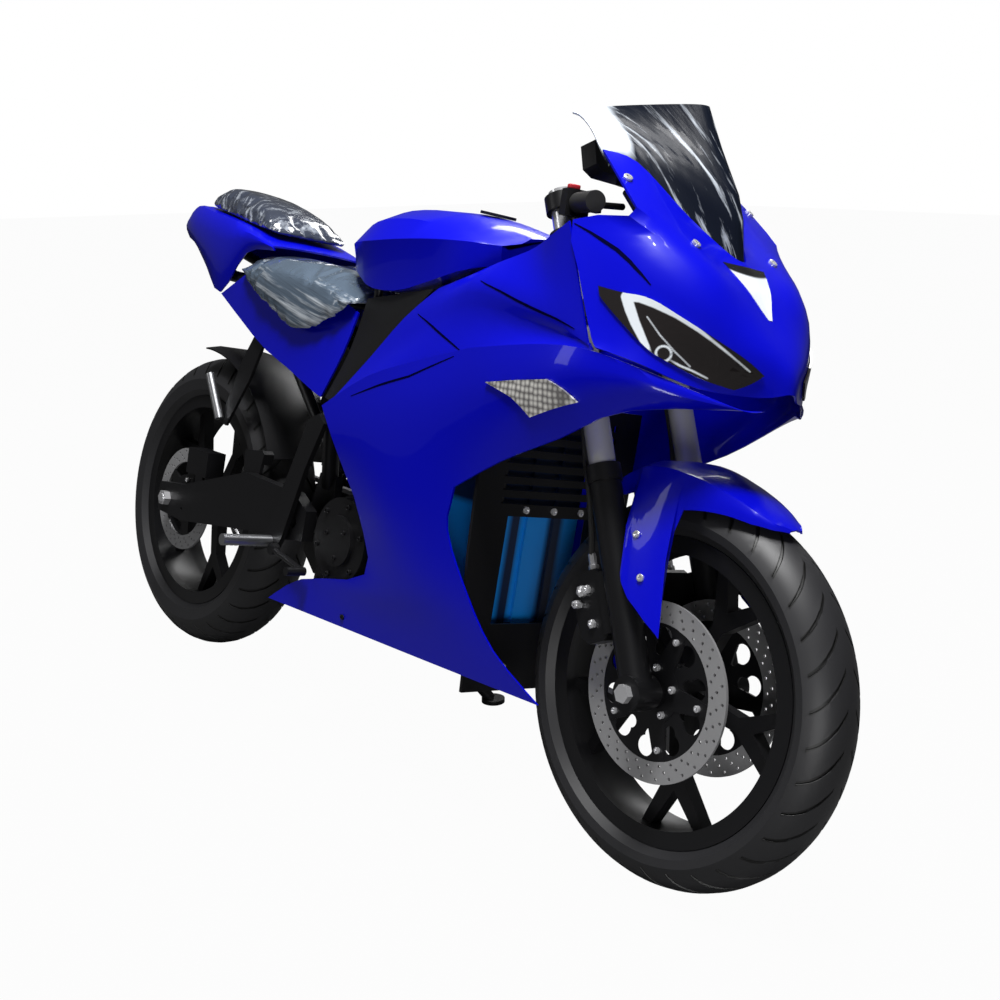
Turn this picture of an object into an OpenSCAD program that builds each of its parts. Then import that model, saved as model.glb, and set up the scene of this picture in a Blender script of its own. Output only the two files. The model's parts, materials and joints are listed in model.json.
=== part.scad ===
// Electric sport motorcycle with a full fairing, parked on its side stand.
// Millimetres. +X is forward, +Y is the rider's left, +Z is up.

/* [Stance] */
// Lean to the left on the side stand, degrees
lean = 12; // [11.5:0.1:12.5]
// Height of the front axle above the line from which body heights are measured
axle_z = 294.3; // [294:0.1:295]
// Distance between the two wheel axles
wheelbase = 1380; // [1376:1:1388]
// Shift along X that brings the middle of the whole box over the origin
mid_x = -10.5; // [-60:0.1:60]
// Shift along Y that brings the middle of the whole box over the origin
mid_y = 100.6; // [-160:0.1:160]

/* [Tyres] */
// Front tyre outer radius
front_r = 293; // [291:0.5:295]
// Front tyre width
front_w = 110; // [106:1:112]
// Rear tyre outer radius
rear_r = 314; // [311:0.5:316]
// Rear tyre width
rear_w = 140; // [134:1:142]
// Section height of the front tyre above its bead
front_sec = 77; // [75:0.5:79]
// Section height of the rear tyre above its bead
rear_sec = 98; // [96:0.5:100]
// Width of the front rim between its flanges
front_rim_w = 76; // [70:1:80]
// Width of the rear rim between its flanges
rear_rim_w = 102; // [96:1:108]

/* [Wheels] */
// Height of a rim flange above the bead seat
flange_h = 12; // [10:0.5:14]
// Thickness of a rim flange
flange_t = 5; // [4:0.5:6]
// Number of Y spokes in each wheel
spokes = 5; // [3:1:6]
// Width of a spoke stem
spoke_w = 28; // [22:1:32]
// Depth of a spoke along the axle
spoke_t = 24; // [18:1:30]
// Radius at which a spoke splits in two
split_r = 118; // [105:1:130]
// Front disc outer radius
disc_r = 133; // [128:1:136]
// Front disc inner radius
disc_in = 101; // [96:1:106]
// Thickness of all discs
disc_t = 4.5; // [4:0.1:5]
// Front disc distance from the middle of the wheel
disc_y = 62; // [60:0.5:64]
// Rear disc outer radius
rdisc_r = 110; // [104:1:114]
// Rear disc and rear sprocket distance from the middle of the wheel
rdisc_y = 88; // [86:0.5:90]
// Rear sprocket radius
sprocket_r = 92; // [86:1:96]
// Motor sprocket radius
pinion_r = 32; // [30:0.5:34]

/* [Front end] */
// Rake of the steering axis from upright, degrees
rake = 25; // [24.6:0.1:25.4]
// Distance of the fork legs ahead of the steering axis
fork_offset = 38; // [36:0.5:40]
// Half distance between the fork legs
fork_y = 100; // [99:0.5:101]
// Fork tube radius
tube_r = 20.5; // [19:0.1:21]
// Fork slider radius
slider_r = 24; // [23:0.1:24.5]
// Length of a slider above the axle
slider_l = 338; // [330:1:345]
// Length of a fork tube above the axle
fork_l = 778; // [774:1:784]
// Front axle radius
axle_r = 8.5; // [7.5:0.5:9.5]
// Handlebar tube diameter
bar_d = 22.2; // [22:0.1:22.4]
// Length of each handlebar from its fork leg
bar_l = 124; // [120:1:125]
// Swing of each handlebar from straight ahead, degrees
bar_swing = 22; // [20:1:25]

/* [Rear end] */
// Swingarm pivot position behind the middle of the wheelbase
pivot_x = -200; // [-204:1:-196]
// Swingarm pivot height
pivot_z = 362; // [360:0.5:364]
// Swingarm pivot radius
pivot_r = 11; // [10:0.5:12]
// Inner face of each swingarm side
arm_y = 106; // [105:0.5:108]
// Thickness of each swingarm side
arm_t = 24; // [22:0.5:26]
// Rear axle radius
raxle_r = 9; // [8:0.5:10]
// Threaded lift hole diameter in each swingarm side, for M8
lift_d = 6.8; // [6.6:0.1:6.9]

/* [Fits] */
// Gap of a fixed piece on its seat
seat_gap = 0.3; // [0.2:0.05:0.5]
// Gap of a turning piece
turn_gap = 5.4; // [5.2:0.1:6]
// Running clearance of a shaft in its bore
run_gap = 0.08; // [0.05:0.01:0.1]
// Thickness of the body panels
skin = 3.5; // [3:0.1:4]

/* [Masses] */
// Half width of the battery pack
batt_w = 94; // [90:1:96]
// Front face of the battery pack
batt_front = 322; // [318:1:324]
// Length of the battery pack
batt_l = 230; // [220:1:236]
// Lower face of the battery pack
batt_z = 300; // [296:1:304]
// Height of the battery pack
batt_h = 380; // [370:1:386]
// Space between the battery pack and the motor
motor_gap = 30; // [28:1:34]
// Motor height
motor_z = 363; // [360:1:366]
// Motor radius
motor_r = 84; // [80:1:86]

/* [Side stand] */
// Stand pivot position along X
stand_x = -60; // [-64:1:-56]
// Stand pivot distance to the left
stand_y = 122; // [120:0.5:126]
// Stand pivot height
stand_z = 190; // [188:0.5:194]
// Foot position along X
foot_x = 12; // [8:1:16]
// Foot distance to the left, along the ground
foot_y = 264; // [260:1:268]
// Stand leg radius
leg_r = 11; // [10:0.5:12]
// Foot plate radius
foot_r = 23; // [21:0.5:25]

/* [Hidden] */
$fn = 48;
xf = wheelbase / 2;
front_rc = front_w * 0.53;
rear_rc = rear_w * 0.53;
zf = axle_z;
ground = axle_z - (front_r - front_rc + front_rc / cos(lean));
zr = ground + rear_r - rear_rc + rear_rc / cos(lean);
drop_y = foot_y * cos(lean);
drop_z = ground + foot_y * sin(lean);
rail_y = 112;
down_x = 338;
down_r = 13;
stem_r = 12.5;
stand_pin_r = 7;
seat_under = 818;
shock_x = -120;
bar_z = fork_l - 21;
lamp_x = -938;
dash_x = 402;
dash_z = 1031;
motor_x = batt_front - batt_l - motor_gap - motor_r;
motor_foot = motor_z - 89;

// Curves and surfaces: a curve is a list of points, a table is a list of curves
function cr(p, t) = let (n = len(p) - 1, s = t * n, i = max(0, min(floor(s), n - 1)), f = s - i,
    a = p[max(i - 1, 0)], b = p[i], c = p[i + 1], d = p[min(i + 2, n)])
    0.5 * (2 * b + (c - a) * f + (2 * a - 5 * b + 4 * c - d) * f * f + (3 * b - a - 3 * c + d) * f * f * f);
function lin(p, t) = let (n = len(p) - 1, s = t * n, i = max(0, min(floor(s), n - 1)), f = s - i)
    p[i] * (1 - f) + p[i + 1] * f;
function surf(T, u, v) = cr([for (r = T) cr(r, u)], v);
function unit(a) = a / max(norm(a), 1e-9);
function nrm(T, u, v) = let (e = 0.012)
    unit(cross(surf(T, min(u + e, 1), v) - surf(T, max(u - e, 0), v),
               surf(T, u, min(v + e, 1)) - surf(T, u, max(v - e, 0))));
function quad(q, s, t) = len(q) == 2 ? cr(q[0], s) * (1 - t) + cr(q[1], s) * t : (q[0] * (1 - s) + q[1] * s) * (1 - t) + (q[3] * (1 - s) + q[2] * s) * t;
function sided(T, s) = [for (r = T) [for (p = r) [p[0], s * p[1], p[2]]]];
// A half curve from the side to the middle becomes a whole one, left to right
function whole(r) = concat([for (p = r) p], [for (i = [len(r) - 2 : -1 : 0]) [r[i][0], -r[i][1], r[i][2]]]);

// Closed sheet between an outer and an inner grid of points
module sheet(O, I, flip = false) {
    nu = len(O) - 1; nv = len(O[0]) - 1; m = nv + 1; n = (nu + 1) * m;
    q = concat(
        [for (i = [0 : nu - 1]) for (j = [0 : nv - 1]) [i * m + j, i * m + m + j, i * m + m + j + 1, i * m + j + 1]],
        [for (i = [0 : nu - 1]) for (j = [0 : nv - 1]) [n + i * m + j, n + i * m + j + 1, n + i * m + m + j + 1, n + i * m + m + j]],
        [for (i = [0 : nu - 1]) [i * m, n + i * m, n + i * m + m, i * m + m]],
        [for (i = [0 : nu - 1]) [i * m + nv, i * m + m + nv, n + i * m + m + nv, n + i * m + nv]],
        [for (j = [0 : nv - 1]) [j, j + 1, n + j + 1, n + j]],
        [for (j = [0 : nv - 1]) [nu * m + j, n + nu * m + j, n + nu * m + j + 1, nu * m + j + 1]]);
    t = [for (f = q) each [[f[0], f[1], f[2]], [f[0], f[2], f[3]]]];
    polyhedron(points = concat([for (r = O) for (p = r) p], [for (r = I) for (p = r) p]),
        faces = flip ? [for (f = t) [f[2], f[1], f[0]]] : t, convexity = 8);
}
// Patch of a table's surface over a quad or between two edges of (u, v), between two offsets along the normal
module patch(T, q, nu, nv, lo, hi, flip = false) {
    k = flip ? -1 : 1;
    g = [for (i = [0 : nu]) [for (j = [0 : nv]) let (c = quad(q, i / nu, j / nv), n = k * nrm(T, c[0], c[1]))
        [surf(T, c[0], c[1]), n]]];
    sheet([for (r = g) [for (c = r) c[0] + c[1] * hi]], [for (r = g) [for (c = r) c[0] + c[1] * lo]], flip);
}
// Closed loft of rings
module loft(R, flip = false) {
    nu = len(R) - 1; m = len(R[0]);
    q = [for (i = [0 : nu - 1]) for (j = [0 : m - 1]) let (k = (j + 1) % m)
        each [[i * m + j, i * m + m + j, i * m + m + k], [i * m + j, i * m + m + k, i * m + k]]];
    e = concat([for (j = [1 : m - 2]) [0, j, j + 1]], [for (j = [1 : m - 2]) [nu * m, nu * m + j + 1, nu * m + j]]);
    t = concat(q, e);
    polyhedron(points = [for (r = R) for (p = r) p], faces = flip ? [for (f = t) [f[2], f[1], f[0]]] : t, convexity = 6);
}

// Round tube along a curve that runs mostly upwards
function tube_ring(p, t, r) = let (e = 0.01, c = cr(p, t), d = unit(cr(p, min(t + e, 1)) - cr(p, max(t - e, 0))), u = unit(cross([0, 1, 0], d)), v = cross(d, u))
    [for (k = [0 : 7]) c + r * (cos(45 * k) * u + sin(45 * k) * v)];
module tube(p, r, m) loft([for (i = [0 : m]) tube_ring(p, i / m, r)]);

// Placing
module place() { translate([-mid_x, -mid_y, 0]) rotate([-lean, 0, 0]) translate([0, 0, -ground]) children(); }
module fork_frame() { translate([xf, 0, zf]) rotate([0, -rake, 0]) children(); }
module fork_undo() { rotate([0, rake, 0]) translate([-xf, 0, -zf]) children(); }
module rod(a, b, r) {
    d = b - a;
    translate(a) rotate([0, acos(d[2] / norm(d)), atan2(d[1], d[0])]) cylinder(r = r, h = norm(d));
}
module along_y(x, z, y0, y1, r) { translate([x, y0, z]) rotate([-90, 0, 0]) cylinder(r = r, h = y1 - y0); }

// Body surfaces. Columns of every point: x, half width, z
arch = [[-94, 175, 595], [40, 182, 664], [190, 190, 708], [319, 200, 740],
        [467, 212, 760], [571, 212, 766], [659, 183, 752], [755, 76, 717]];
belt = [[-45, 178, 545], [80, 188, 590], [205, 197, 628], [330, 204, 655],
        [470, 215, 694], [592, 210, 722], [688, 163, 723], [767, 57, 715]];
lip = [[2, 175, 494], [115, 188, 508], [220, 193, 516], [322, 190, 522],
       [424, 193, 580], [540, 190, 634], [644, 167, 691], [774, 37, 719]];
leg = [[for (i = [0 : 3]) arch[i]], [for (i = [0 : 3]) belt[i]], [for (i = [0 : 3]) lip[i]],
       [[60, 173, 430], [150, 185, 432], [232, 187, 438], [314, 184, 452]],
       [[92, 164, 328], [180, 173, 332], [272, 176, 342], [372, 173, 362]],
       [[-112, 152, 272], [62, 156, 268], [236, 160, 276], [440, 161, 288]],
       [[-217, 149, 211], [30, 149, 218], [280, 149, 225], [545, 151, 234]]];
arm = [[for (i = [3 : 7]) arch[i]], [for (i = [3 : 7]) belt[i]], [for (i = [3 : 7]) lip[i]]];
upper = [[[158, 150, 828], [235, 154, 853], [310, 158, 879], [384, 162, 902], [440, 180, 922], [485, 190, 944]],
         [[80, 152, 772], [190, 162, 815], [288, 176, 842], [429, 191, 820], [520, 200, 802], [573, 204, 786]],
         [[0, 157, 690], [150, 166, 750], [270, 175, 790], [430, 185, 786], [530, 196, 779], [580, 203, 775]],
         [[-88, 166, 600], [60, 174, 672], [220, 182, 715], [400, 197, 750], [520, 205, 762], [590, 203, 765]]];
nose = [for (r = [[[479, 140, 1057], [518, 104, 1046], [592, 56, 978], [647, 20, 934], [661, 0, 925]],
                  [[547, 155, 1005], [582, 116, 984], [645, 71, 932], [684, 30, 899], [692, 0, 892]],
                  [[588, 164, 962], [623, 143, 940], [690, 98, 898], [712, 44, 869], [713, 0, 864]],
                  [[494, 191, 946], [611, 171, 905], [705, 120, 856], [735, 52, 838], [734, 0, 838]],
                  [[540, 202, 862], [630, 178, 841], [714, 121, 807], [761, 51, 797], [767, 0, 800]],
                  [[584, 207, 787], [654, 179, 785], [722, 112, 762], [770, 42, 763], [784, 0, 773]],
                  [[600, 209, 770], [664, 183, 757], [720, 119, 736], [768, 42, 737], [789, 0, 748]]]) whole(r)];
tuck = skin + 1.6;
function under_nose(v) = [for (i = [0 : 8]) surf(nose, i / 8, v) - nrm(nose, i / 8, v) * tuck];
screen = concat([under_nose(0.07), under_nose(0)], [for (r = [
                    [[424, 117, 1092], [482, 88, 1084], [560, 52, 1050], [621, 18, 1011], [637, 0, 1003]],
                    [[382, 105, 1116], [435, 80, 1114], [509, 48, 1100], [569, 18, 1085], [584, 0, 1080]],
                    [[351, 95, 1124], [399, 74, 1136], [470, 46, 1144], [526, 17, 1150], [541, 0, 1151]]]) whole(r)]);
tail = [for (r = [[[-925, 34, 880], [-945, 36, 905], [-938, 30, 930], [-930, 16, 938], [-930, 0, 940]],
                  [[-845, 56, 862], [-870, 66, 892], [-866, 56, 946], [-866, 26, 954], [-866, 0, 955]],
                  [[-748, 80, 818], [-745, 94, 862], [-740, 86, 930], [-740, 45, 938], [-740, 0, 939]],
                  [[-640, 100, 768], [-625, 112, 836], [-620, 106, 913], [-620, 58, 920], [-620, 0, 921]],
                  [[-530, 114, 854], [-525, 120, 874], [-522, 114, 897], [-522, 60, 902], [-522, 0, 903]],
                  [[-430, 110, 864], [-430, 116, 868], [-432, 112, 873], [-432, 60, 876], [-432, 0, 877]]]) whole(r)];
flank = [[[-524, 111, 812], [-430, 114, 812], [-300, 116, 808], [-180, 119, 792], [-96, 124, 768]],
         [[-572, 108, 790], [-440, 119, 765], [-285, 126, 738], [-165, 130, 715], [-112, 133, 695]],
         [[-632, 101, 765], [-416, 124, 680], [-290, 133, 645], [-190, 139, 615], [-152, 141, 606]]];
cover = [[[-74, 124, 796], [0, 132, 806], [70, 141, 816], [140, 146, 826]],
         [[-92, 133, 700], [-55, 140, 706], [-15, 146, 712], [18, 149, 716]],
         [[-138, 141, 607], [-128, 144, 606], [-116, 148, 605], [-104, 150, 604]]];

// Struts from a frame tube to a panel's inner face, at (u, v) of its table
strut_r = 4;
module strut2(a, p, n, t = skin) {
    k = norm(cross(unit(p - a), n)); o = (p - a) * n < 0 ? -1 : 1;
    rod(a, p - o * n * (t + 2 * seat_gap + strut_r * k), strut_r);
}
module strut(s, a, T, u, v, y = rail_y) {
    S = sided(T, s); n = nrm(S, u, v);
    strut2([a[0], s * y, a[1]], surf(S, u, v), n);
}

// Chassis body
module main_frame() color("#16181b") place() {
    fork_frame() translate([-fork_offset, 0, 596]) difference() {
        cylinder(r = 28, h = 86);
        translate([0, 0, -1]) cylinder(r = stem_r + run_gap, h = 88);
    }
    for (s = [-1, 1]) {
        rod([374, s * 17, 850], [180, s * rail_y, 742], 16);
        rod([188, s * rail_y, 746], [-150, s * rail_y, 560], 16);
        rod([-143, s * rail_y, 570], [pivot_x + 10, s * 66, pivot_z + 75], 16);
        rod([262, s * 72, 788], [down_x, s * rail_y, 690], 13);
        rod([down_x, s * rail_y, 700], [down_x, s * rail_y, 278], down_r);
        rod([down_x + 8, s * rail_y, 280], [-118, s * rail_y, 262], 13);
        rod([-110, s * rail_y, 262], [pivot_x + 28, s * 66, pivot_z - 88], 13);
        rod([20, s * rail_y, 654], [-330, s * 98, 788], 12);
        rod([-320, s * 98, 788], [-630, s * 84, 806], 12);
        rod([-620, s * 84, 806], [-870, s * 20, 884], 11);
        rod([-166, s * 92, 505], [-480, s * 92, 792], 11);
        // Pivot plate
        translate([pivot_x, s * 66, pivot_z]) rotate([90, 0, 0]) translate([0, 0, -8]) linear_extrude(16)
            polygon([[-34, -60], [10, -96], [44, -96], [48, 0], [40, 96], [-14, 96], [-36, 0]]);
        // Pads below the rider seat
        for (x = [-470, -300]) translate([x, s * 94, 766]) cylinder(r = 7, h = seat_under - seat_gap - 766);
        // Posts below the tank
        for (c = [[130, 714, 12], [-60, 612, 7]])
            translate([c[0], s * rail_y, c[1]]) cylinder(r = 8, h = min(tank_under(c[0] - 8, c[2]), tank_under(c[0] + 8, c[2])) - seat_gap - c[1]);
        // Struts that carry the side panels
        strut(s, [150, 725], leg, 0.4, 0.1);
        strut(s, [60, 269], leg, 0.55, 0.93);
        strut(s, [270, 278], leg, 0.68, 0.86);
        strut(s, [110, 703], upper, 0.25, 0.4);
        strut(s, [-60, 610], upper, 0.12, 0.85);
        strut(s, [170, 737], upper, 0.5, 0.55);
        strut(s, [-30, 673], cover, 0.5, 0.45);
        strut(s, [-480, 797], flank, 0.3, 0.3, 92);
        strut(s, [-200, 738], flank, 0.72, 0.35, 103);
    }
    along_y(pivot_x, pivot_z, -arm_y + 0.5, arm_y - 0.5, pivot_r + 8);
    along_y(-868, 883, -24, 24, 11);
    translate([lamp_x + 8 + seat_gap, 0, 893]) rotate([0, 90, 0]) cylinder(r = 7, h = -868 - lamp_x - 8);
    along_y(-320, 788, -98, 98, 10);
    along_y(shock_x, 707, -106, 106, 10);
    along_y(60, 676, -rail_y, rail_y, 12);
    along_y(-110, 262, -rail_y, rail_y, 12);
    along_y(down_x, 690, -rail_y, rail_y, 10);
    // Stand bracket, motor plate and battery tray
    along_y(stand_x, stand_z, 96, stand_y - 14 - turn_gap, 13);
    along_y(stand_x, stand_z, 98, stand_y + 18, stand_pin_r);
    translate([stand_x - 13, 98, stand_z]) cube([26, 5, 266 - stand_z]);
    translate([motor_x - 80, -rail_y, motor_foot - 12]) cube([120, 2 * rail_y, 12]);
    translate([batt_front - batt_l, -rail_y, batt_z - 22]) cube([batt_l, 2 * rail_y, 22 - seat_gap]);
    // Tail posts
    for (s = [-1, 1]) strut2([-620, s * 84, 806], surf(tail, s > 0 ? 0.14 : 0.86, 0.5), nrm(tail, s > 0 ? 0.14 : 0.86, 0.5));
}
module swingarm() color("#17191c") place() {
    difference() {
        union() {
            for (s = [-1, 1]) translate([0, s * (arm_y + arm_t / 2) + arm_t / 2, 0]) rotate([90, 0, 0]) linear_extrude(arm_t)
                polygon([[pivot_x + 38, pivot_z - 30], [pivot_x + 40, pivot_z + 28], [pivot_x - 10, pivot_z + 55],
                    [pivot_x - 190, pivot_z + 62], [-xf + 60, zr + 40], [-xf - 38, zr + 30], [-xf - 46, zr - 4],
                    [-xf - 34, zr - 32], [-xf + 70, zr - 36], [pivot_x - 120, pivot_z - 44]]);
            translate([pivot_x - 130, -arm_y - 1, pivot_z - 48]) cube([62, 2 * arm_y + 2, 66]);
        }
        for (s = [-1, 1]) {
            along_y(pivot_x, pivot_z, s > 0 ? arm_y - 1 : -arm_y - arm_t - 1, s > 0 ? arm_y + arm_t + 1 : -arm_y + 1, pivot_r);
            along_y(-xf, zr, s > 0 ? arm_y - 1 : -arm_y - arm_t - 1, s > 0 ? arm_y + arm_t + 1 : -arm_y + 1, raxle_r + seat_gap);
            along_y(-xf + 64, zr - 12, s > 0 ? arm_y + 4 : -arm_y - arm_t - 1, s > 0 ? arm_y + arm_t + 1 : -arm_y - 4, lift_d / 2);
        }
    }
}
module rear_shock() color("#3a3d42") place() {
    a = [pivot_x - 98, 0, pivot_z + 18 + 14 + seat_gap]; b = [shock_x, 0, 707 - 10 - 14 - seat_gap];
    d = b - a;
    translate(a) rotate([0, acos(d[2] / norm(d)), 0]) {
        translate([0, 0, 12]) cylinder(r = 11, h = norm(d) - 24);
        translate([0, 0, 90]) rotate_extrude() polygon(concat([[10, 0]],
            [for (k = [0 : 7]) each [[30, k * 19], [34, k * 19 + 5], [30, k * 19 + 11], [24, k * 19 + 14]]], [[10, 152]]));
    }
    along_y(a[0], a[2], -18, 18, 14);
    along_y(b[0], b[2], -18, 18, 14);
}
module rear_axle() color("#9a9da1") place() {
    along_y(-xf, zr, -arm_y - arm_t - 16, arm_y + arm_t + 16, raxle_r);
    for (s = [-1, 1]) translate([-xf, s * (arm_y + arm_t + 7.3), zr]) rotate([90, 0, 0]) cylinder(r = 16, h = 14, center = true, $fn = 6);
    for (s = [-1, 1]) translate([-xf, s * (arm_y - 6 - seat_gap), zr]) rotate([90, 0, 0]) cylinder(r = 20, h = 12, center = true);
}
module rear_brake() color("#1d1f22") place() {
    difference() {
        translate([-xf + 20, -arm_y + seat_gap, zr + 62]) cube([84, arm_y - rdisc_y + 24, 54]);
        along_y(-xf, zr, -rdisc_y - disc_t / 2 - turn_gap, -rdisc_y + disc_t / 2 + turn_gap, rdisc_r + turn_gap);
        along_y(-xf, zr, -rdisc_y, -50, rdisc_r - 48);
    }
    translate([-xf + 62, -arm_y + seat_gap, zr + 28]) cube([30, 6, 50]);
}
hug_r = rear_r + 14;
hug_a = asin((sprocket_r + 45) / hug_r);
module rear_hugger() color("#101114") place() translate([-xf, 0, zr]) {
    rotate([90, 0, 0]) rotate([0, 0, hug_a]) rotate_extrude(angle = 66)
        polygon([[hug_r, -84], [hug_r + 3, -84], [hug_r + 10, -50], [hug_r + 10, 50], [hug_r + 3, 84], [hug_r, 84],
            [hug_r, 81], [hug_r + 6, 49], [hug_r + 6, -49], [hug_r, -81]]);
    x = hug_r * cos(hug_a); z = hug_r * sin(hug_a); foot = min(z - 30, pivot_z - zr + 44);
    for (s = [-1, 1]) {
        translate([0, s * (arm_y - seat_gap) + (s > 0 ? 0 : 24), 0]) rotate([90, 0, 0]) linear_extrude(24)
            polygon([[x - 50, z - 10], [x + 16, z - 10], [x + 22, z + 12], [x + 12, z + 18], [x - 50, z + 11]]);
        translate([0, s * (arm_y - seat_gap) + (s > 0 ? 0 : 7), 0]) rotate([90, 0, 0]) linear_extrude(7)
            polygon([[x - 44, foot], [x + 10, foot], [x + 16, z - 9], [x - 50, z - 9]]);
    }
}
module motor() color("#202226") place() {
    along_y(motor_x, motor_z, -118, 66, motor_r);
    along_y(motor_x, motor_z, 60, 98, 12);
    along_y(motor_x, motor_z, -146, -110, motor_r - 6);
    along_y(motor_x, motor_z, -154, -140, 46);
    along_y(motor_x, motor_z, 82, 94, pinion_r - 5);
    translate([motor_x - 60, -96, motor_foot + seat_gap]) cube([90, 156, 60]);
}
module battery_pack() color("#1379c4") place()
    translate([batt_front - batt_l, -batt_w, batt_z]) difference() {
        cube([batt_l, 2 * batt_w, batt_h]);
        for (y = [0.34, 0.66]) translate([batt_l - 6, 2 * batt_w * y - 9, -1]) cube([10, 18, batt_h + 2]);
    }
module chain() color("#3b3d40") place() translate([0, 80, 0]) rotate([-90, 0, 0]) {
    a = [motor_x, -motor_z]; b = [-xf, -zr]; l = norm(b - a);
    ra = pinion_r - 5 + seat_gap; rb = sprocket_r + turn_gap;
    difference() {
        linear_extrude(16) hull() { translate(a) circle(ra + 9); translate(b) circle(rb + 9); }
        translate([0, 0, -1]) linear_extrude(18) hull() { translate(a) circle(ra); translate(b) circle(rb); }
    }
}
module peg_hangers() color("#17181b") place() for (s = [-1, 1]) {
    translate([0, s * (arm_y + arm_t + 12) + 5, 0]) rotate([90, 0, 0]) linear_extrude(10)
        polygon([[-262, 300], [-222, 300], [-205, 330], [-160, 470], [-120, 560], [-140, 576], [-172, 560], [-225, 420], [-262, 330]]);
    along_y(-139, 566, s > 0 ? rail_y + 16 + seat_gap : -arm_y - arm_t - 8, s > 0 ? arm_y + arm_t + 8 : -rail_y - 16 - seat_gap, 9);
    // Pillion hanger
    translate([0, s * 110.2 + 3.2, 0]) rotate([90, 0, 0]) linear_extrude(6.4)
        polygon([[-545, 505], [-520, 500], [-455, 600], [-395, 730], [-420, 745], [-490, 640]]);
    along_y(-414, 734, s > 0 ? 103.6 : -110, s > 0 ? 110 : -103.6, 8);
}
module rider_pegs() color("#b9bcc0") place() for (s = [-1, 1])
    translate([-242, s * (arm_y + arm_t + 17 + seat_gap), 316]) rotate([-s * 90, 0, 0]) difference() {
        cylinder(r = 11, h = 104);
        for (k = [0 : 6]) translate([-12, -15, 26 + k * 10]) cube([24, 6, 5]);
    }
module pillion_pegs() color("#b9bcc0") place() for (s = [-1, 1])
    rod([-532, s * (113.4 + seat_gap + 9), 512], [-580, s * (113.4 + seat_gap + 17.2), 598], 9);
module brake_pedal() color("#a7aaae") place() {
    rod([-214, -arm_y - arm_t - 17 - seat_gap - 7, 306], [-86, -170, 292], 6);
    along_y(-86, 292, -206, -166, 8);
    along_y(-214, 306, -arm_y - arm_t - 17 - seat_gap - 14, -arm_y - arm_t - 17 - seat_gap, 11);
}
// Side fairing: the leg grid runs down to the belly, the arm grid runs forward to the beak
module fairing(s) {
    nl = 9; na = 12; nk = 3; nv = 6 * nk; nc = 2 * nk;
    G = concat([for (i = [0 : nl]) [for (j = [0 : nv]) surf(leg, i / nl, j / nv)]],
               [for (i = [1 : na]) [for (j = [0 : nc]) surf(arm, i / na, j / nc)]]);
    m = nv + 1; mc = nc + 1; n = (nl + 1) * m + na * mc;
    function id(i, j) = i <= nl ? i * m + j : (nl + 1) * m + (i - nl - 1) * mc + j;
    pts = [for (r = G) for (p = r) [p[0], s * p[1], p[2]]];
    inn = [for (r = G) for (p = r) [p[0], s * (p[1] - skin), p[2]]];
    cell = concat([for (i = [0 : nl - 1]) for (j = [0 : nv - 1]) [i, j]], [for (i = [nl : nl + na - 1]) for (j = [0 : nc - 1]) [i, j]]);
    rim = concat([for (i = [0 : nl + na - 1]) [id(i + 1, 0), id(i, 0)]],
                 [for (j = [0 : nc - 1]) [id(nl + na, j + 1), id(nl + na, j)]],
                 [for (i = [nl + na : -1 : nl + 1]) [id(i - 1, nc), id(i, nc)]],
                 [for (j = [nc : nv - 1]) [id(nl, j + 1), id(nl, j)]],
                 [for (i = [nl : -1 : 1]) [id(i - 1, nv), id(i, nv)]],
                 [for (j = [nv : -1 : 1]) [id(0, j - 1), id(0, j)]]);
    q = concat([for (c = cell) [id(c[0], c[1]), id(c[0] + 1, c[1]), id(c[0] + 1, c[1] + 1), id(c[0], c[1] + 1)]],
               [for (c = cell) [n + id(c[0], c[1]), n + id(c[0], c[1] + 1), n + id(c[0] + 1, c[1] + 1), n + id(c[0] + 1, c[1])]],
               [for (e = rim) [e[0], e[1], n + e[1], n + e[0]]]);
    t = [for (f = q) each [[f[0], f[1], f[2]], [f[0], f[2], f[3]]]];
    polyhedron(points = concat(pts, inn), faces = s > 0 ? t : [for (f = t) [f[2], f[1], f[0]]], convexity = 8);
}
module fairing_right() color("#0b1fd6") place() fairing(-1);
module fairing_left() color("#0b1fd6") place() fairing(1);
// Panel whose thickness runs along Y
module side_sheet(T, s, nu, nv) {
    g = [for (i = [0 : nu]) [for (j = [0 : nv]) surf(T, i / nu, j / nv)]];
    sheet([for (r = g) [for (p = r) [p[0], s * p[1], p[2]]]], [for (r = g) [for (p = r) [p[0], s * (p[1] - skin), p[2]]]], s < 0);
}
module upper_panel_right() color("#0b1fd6") place() side_sheet(upper, -1, 14, 9);
module upper_panel_left() color("#0b1fd6") place() side_sheet(upper, 1, 14, 9);
module nose_cowl() color("#0b1fd6") place() patch(nose, [[0, 0], [1, 0], [1, 1], [0, 1]], 32, 14, -skin, 0, false);
module nose_stay() color("#121316") place() {
    fork_frame() translate([-fork_offset + 28 + seat_gap, -18, 612]) cube([12, 36, 54]);
    rod([420, 0, 868], [640, 0, 880], 12);
    rod([560, 0, 876], [dash_x, 0, dash_z - seat_gap - 10.4], 7);
    for (s = [-1, 1]) {
        for (c = [[0.3, 0.3], [0.42, 0.62]]) let (u = s > 0 ? c[0] : 1 - c[0])
            strut2([600, 0, 878], surf(nose, u, c[1]), nrm(nose, u, c[1]));
    }
}
module windscreen() color("#23272c") place() patch(screen, [[0, 0], [1, 0], [1, 1], [0, 1]], 26, 9, -3, 0, true);
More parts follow.
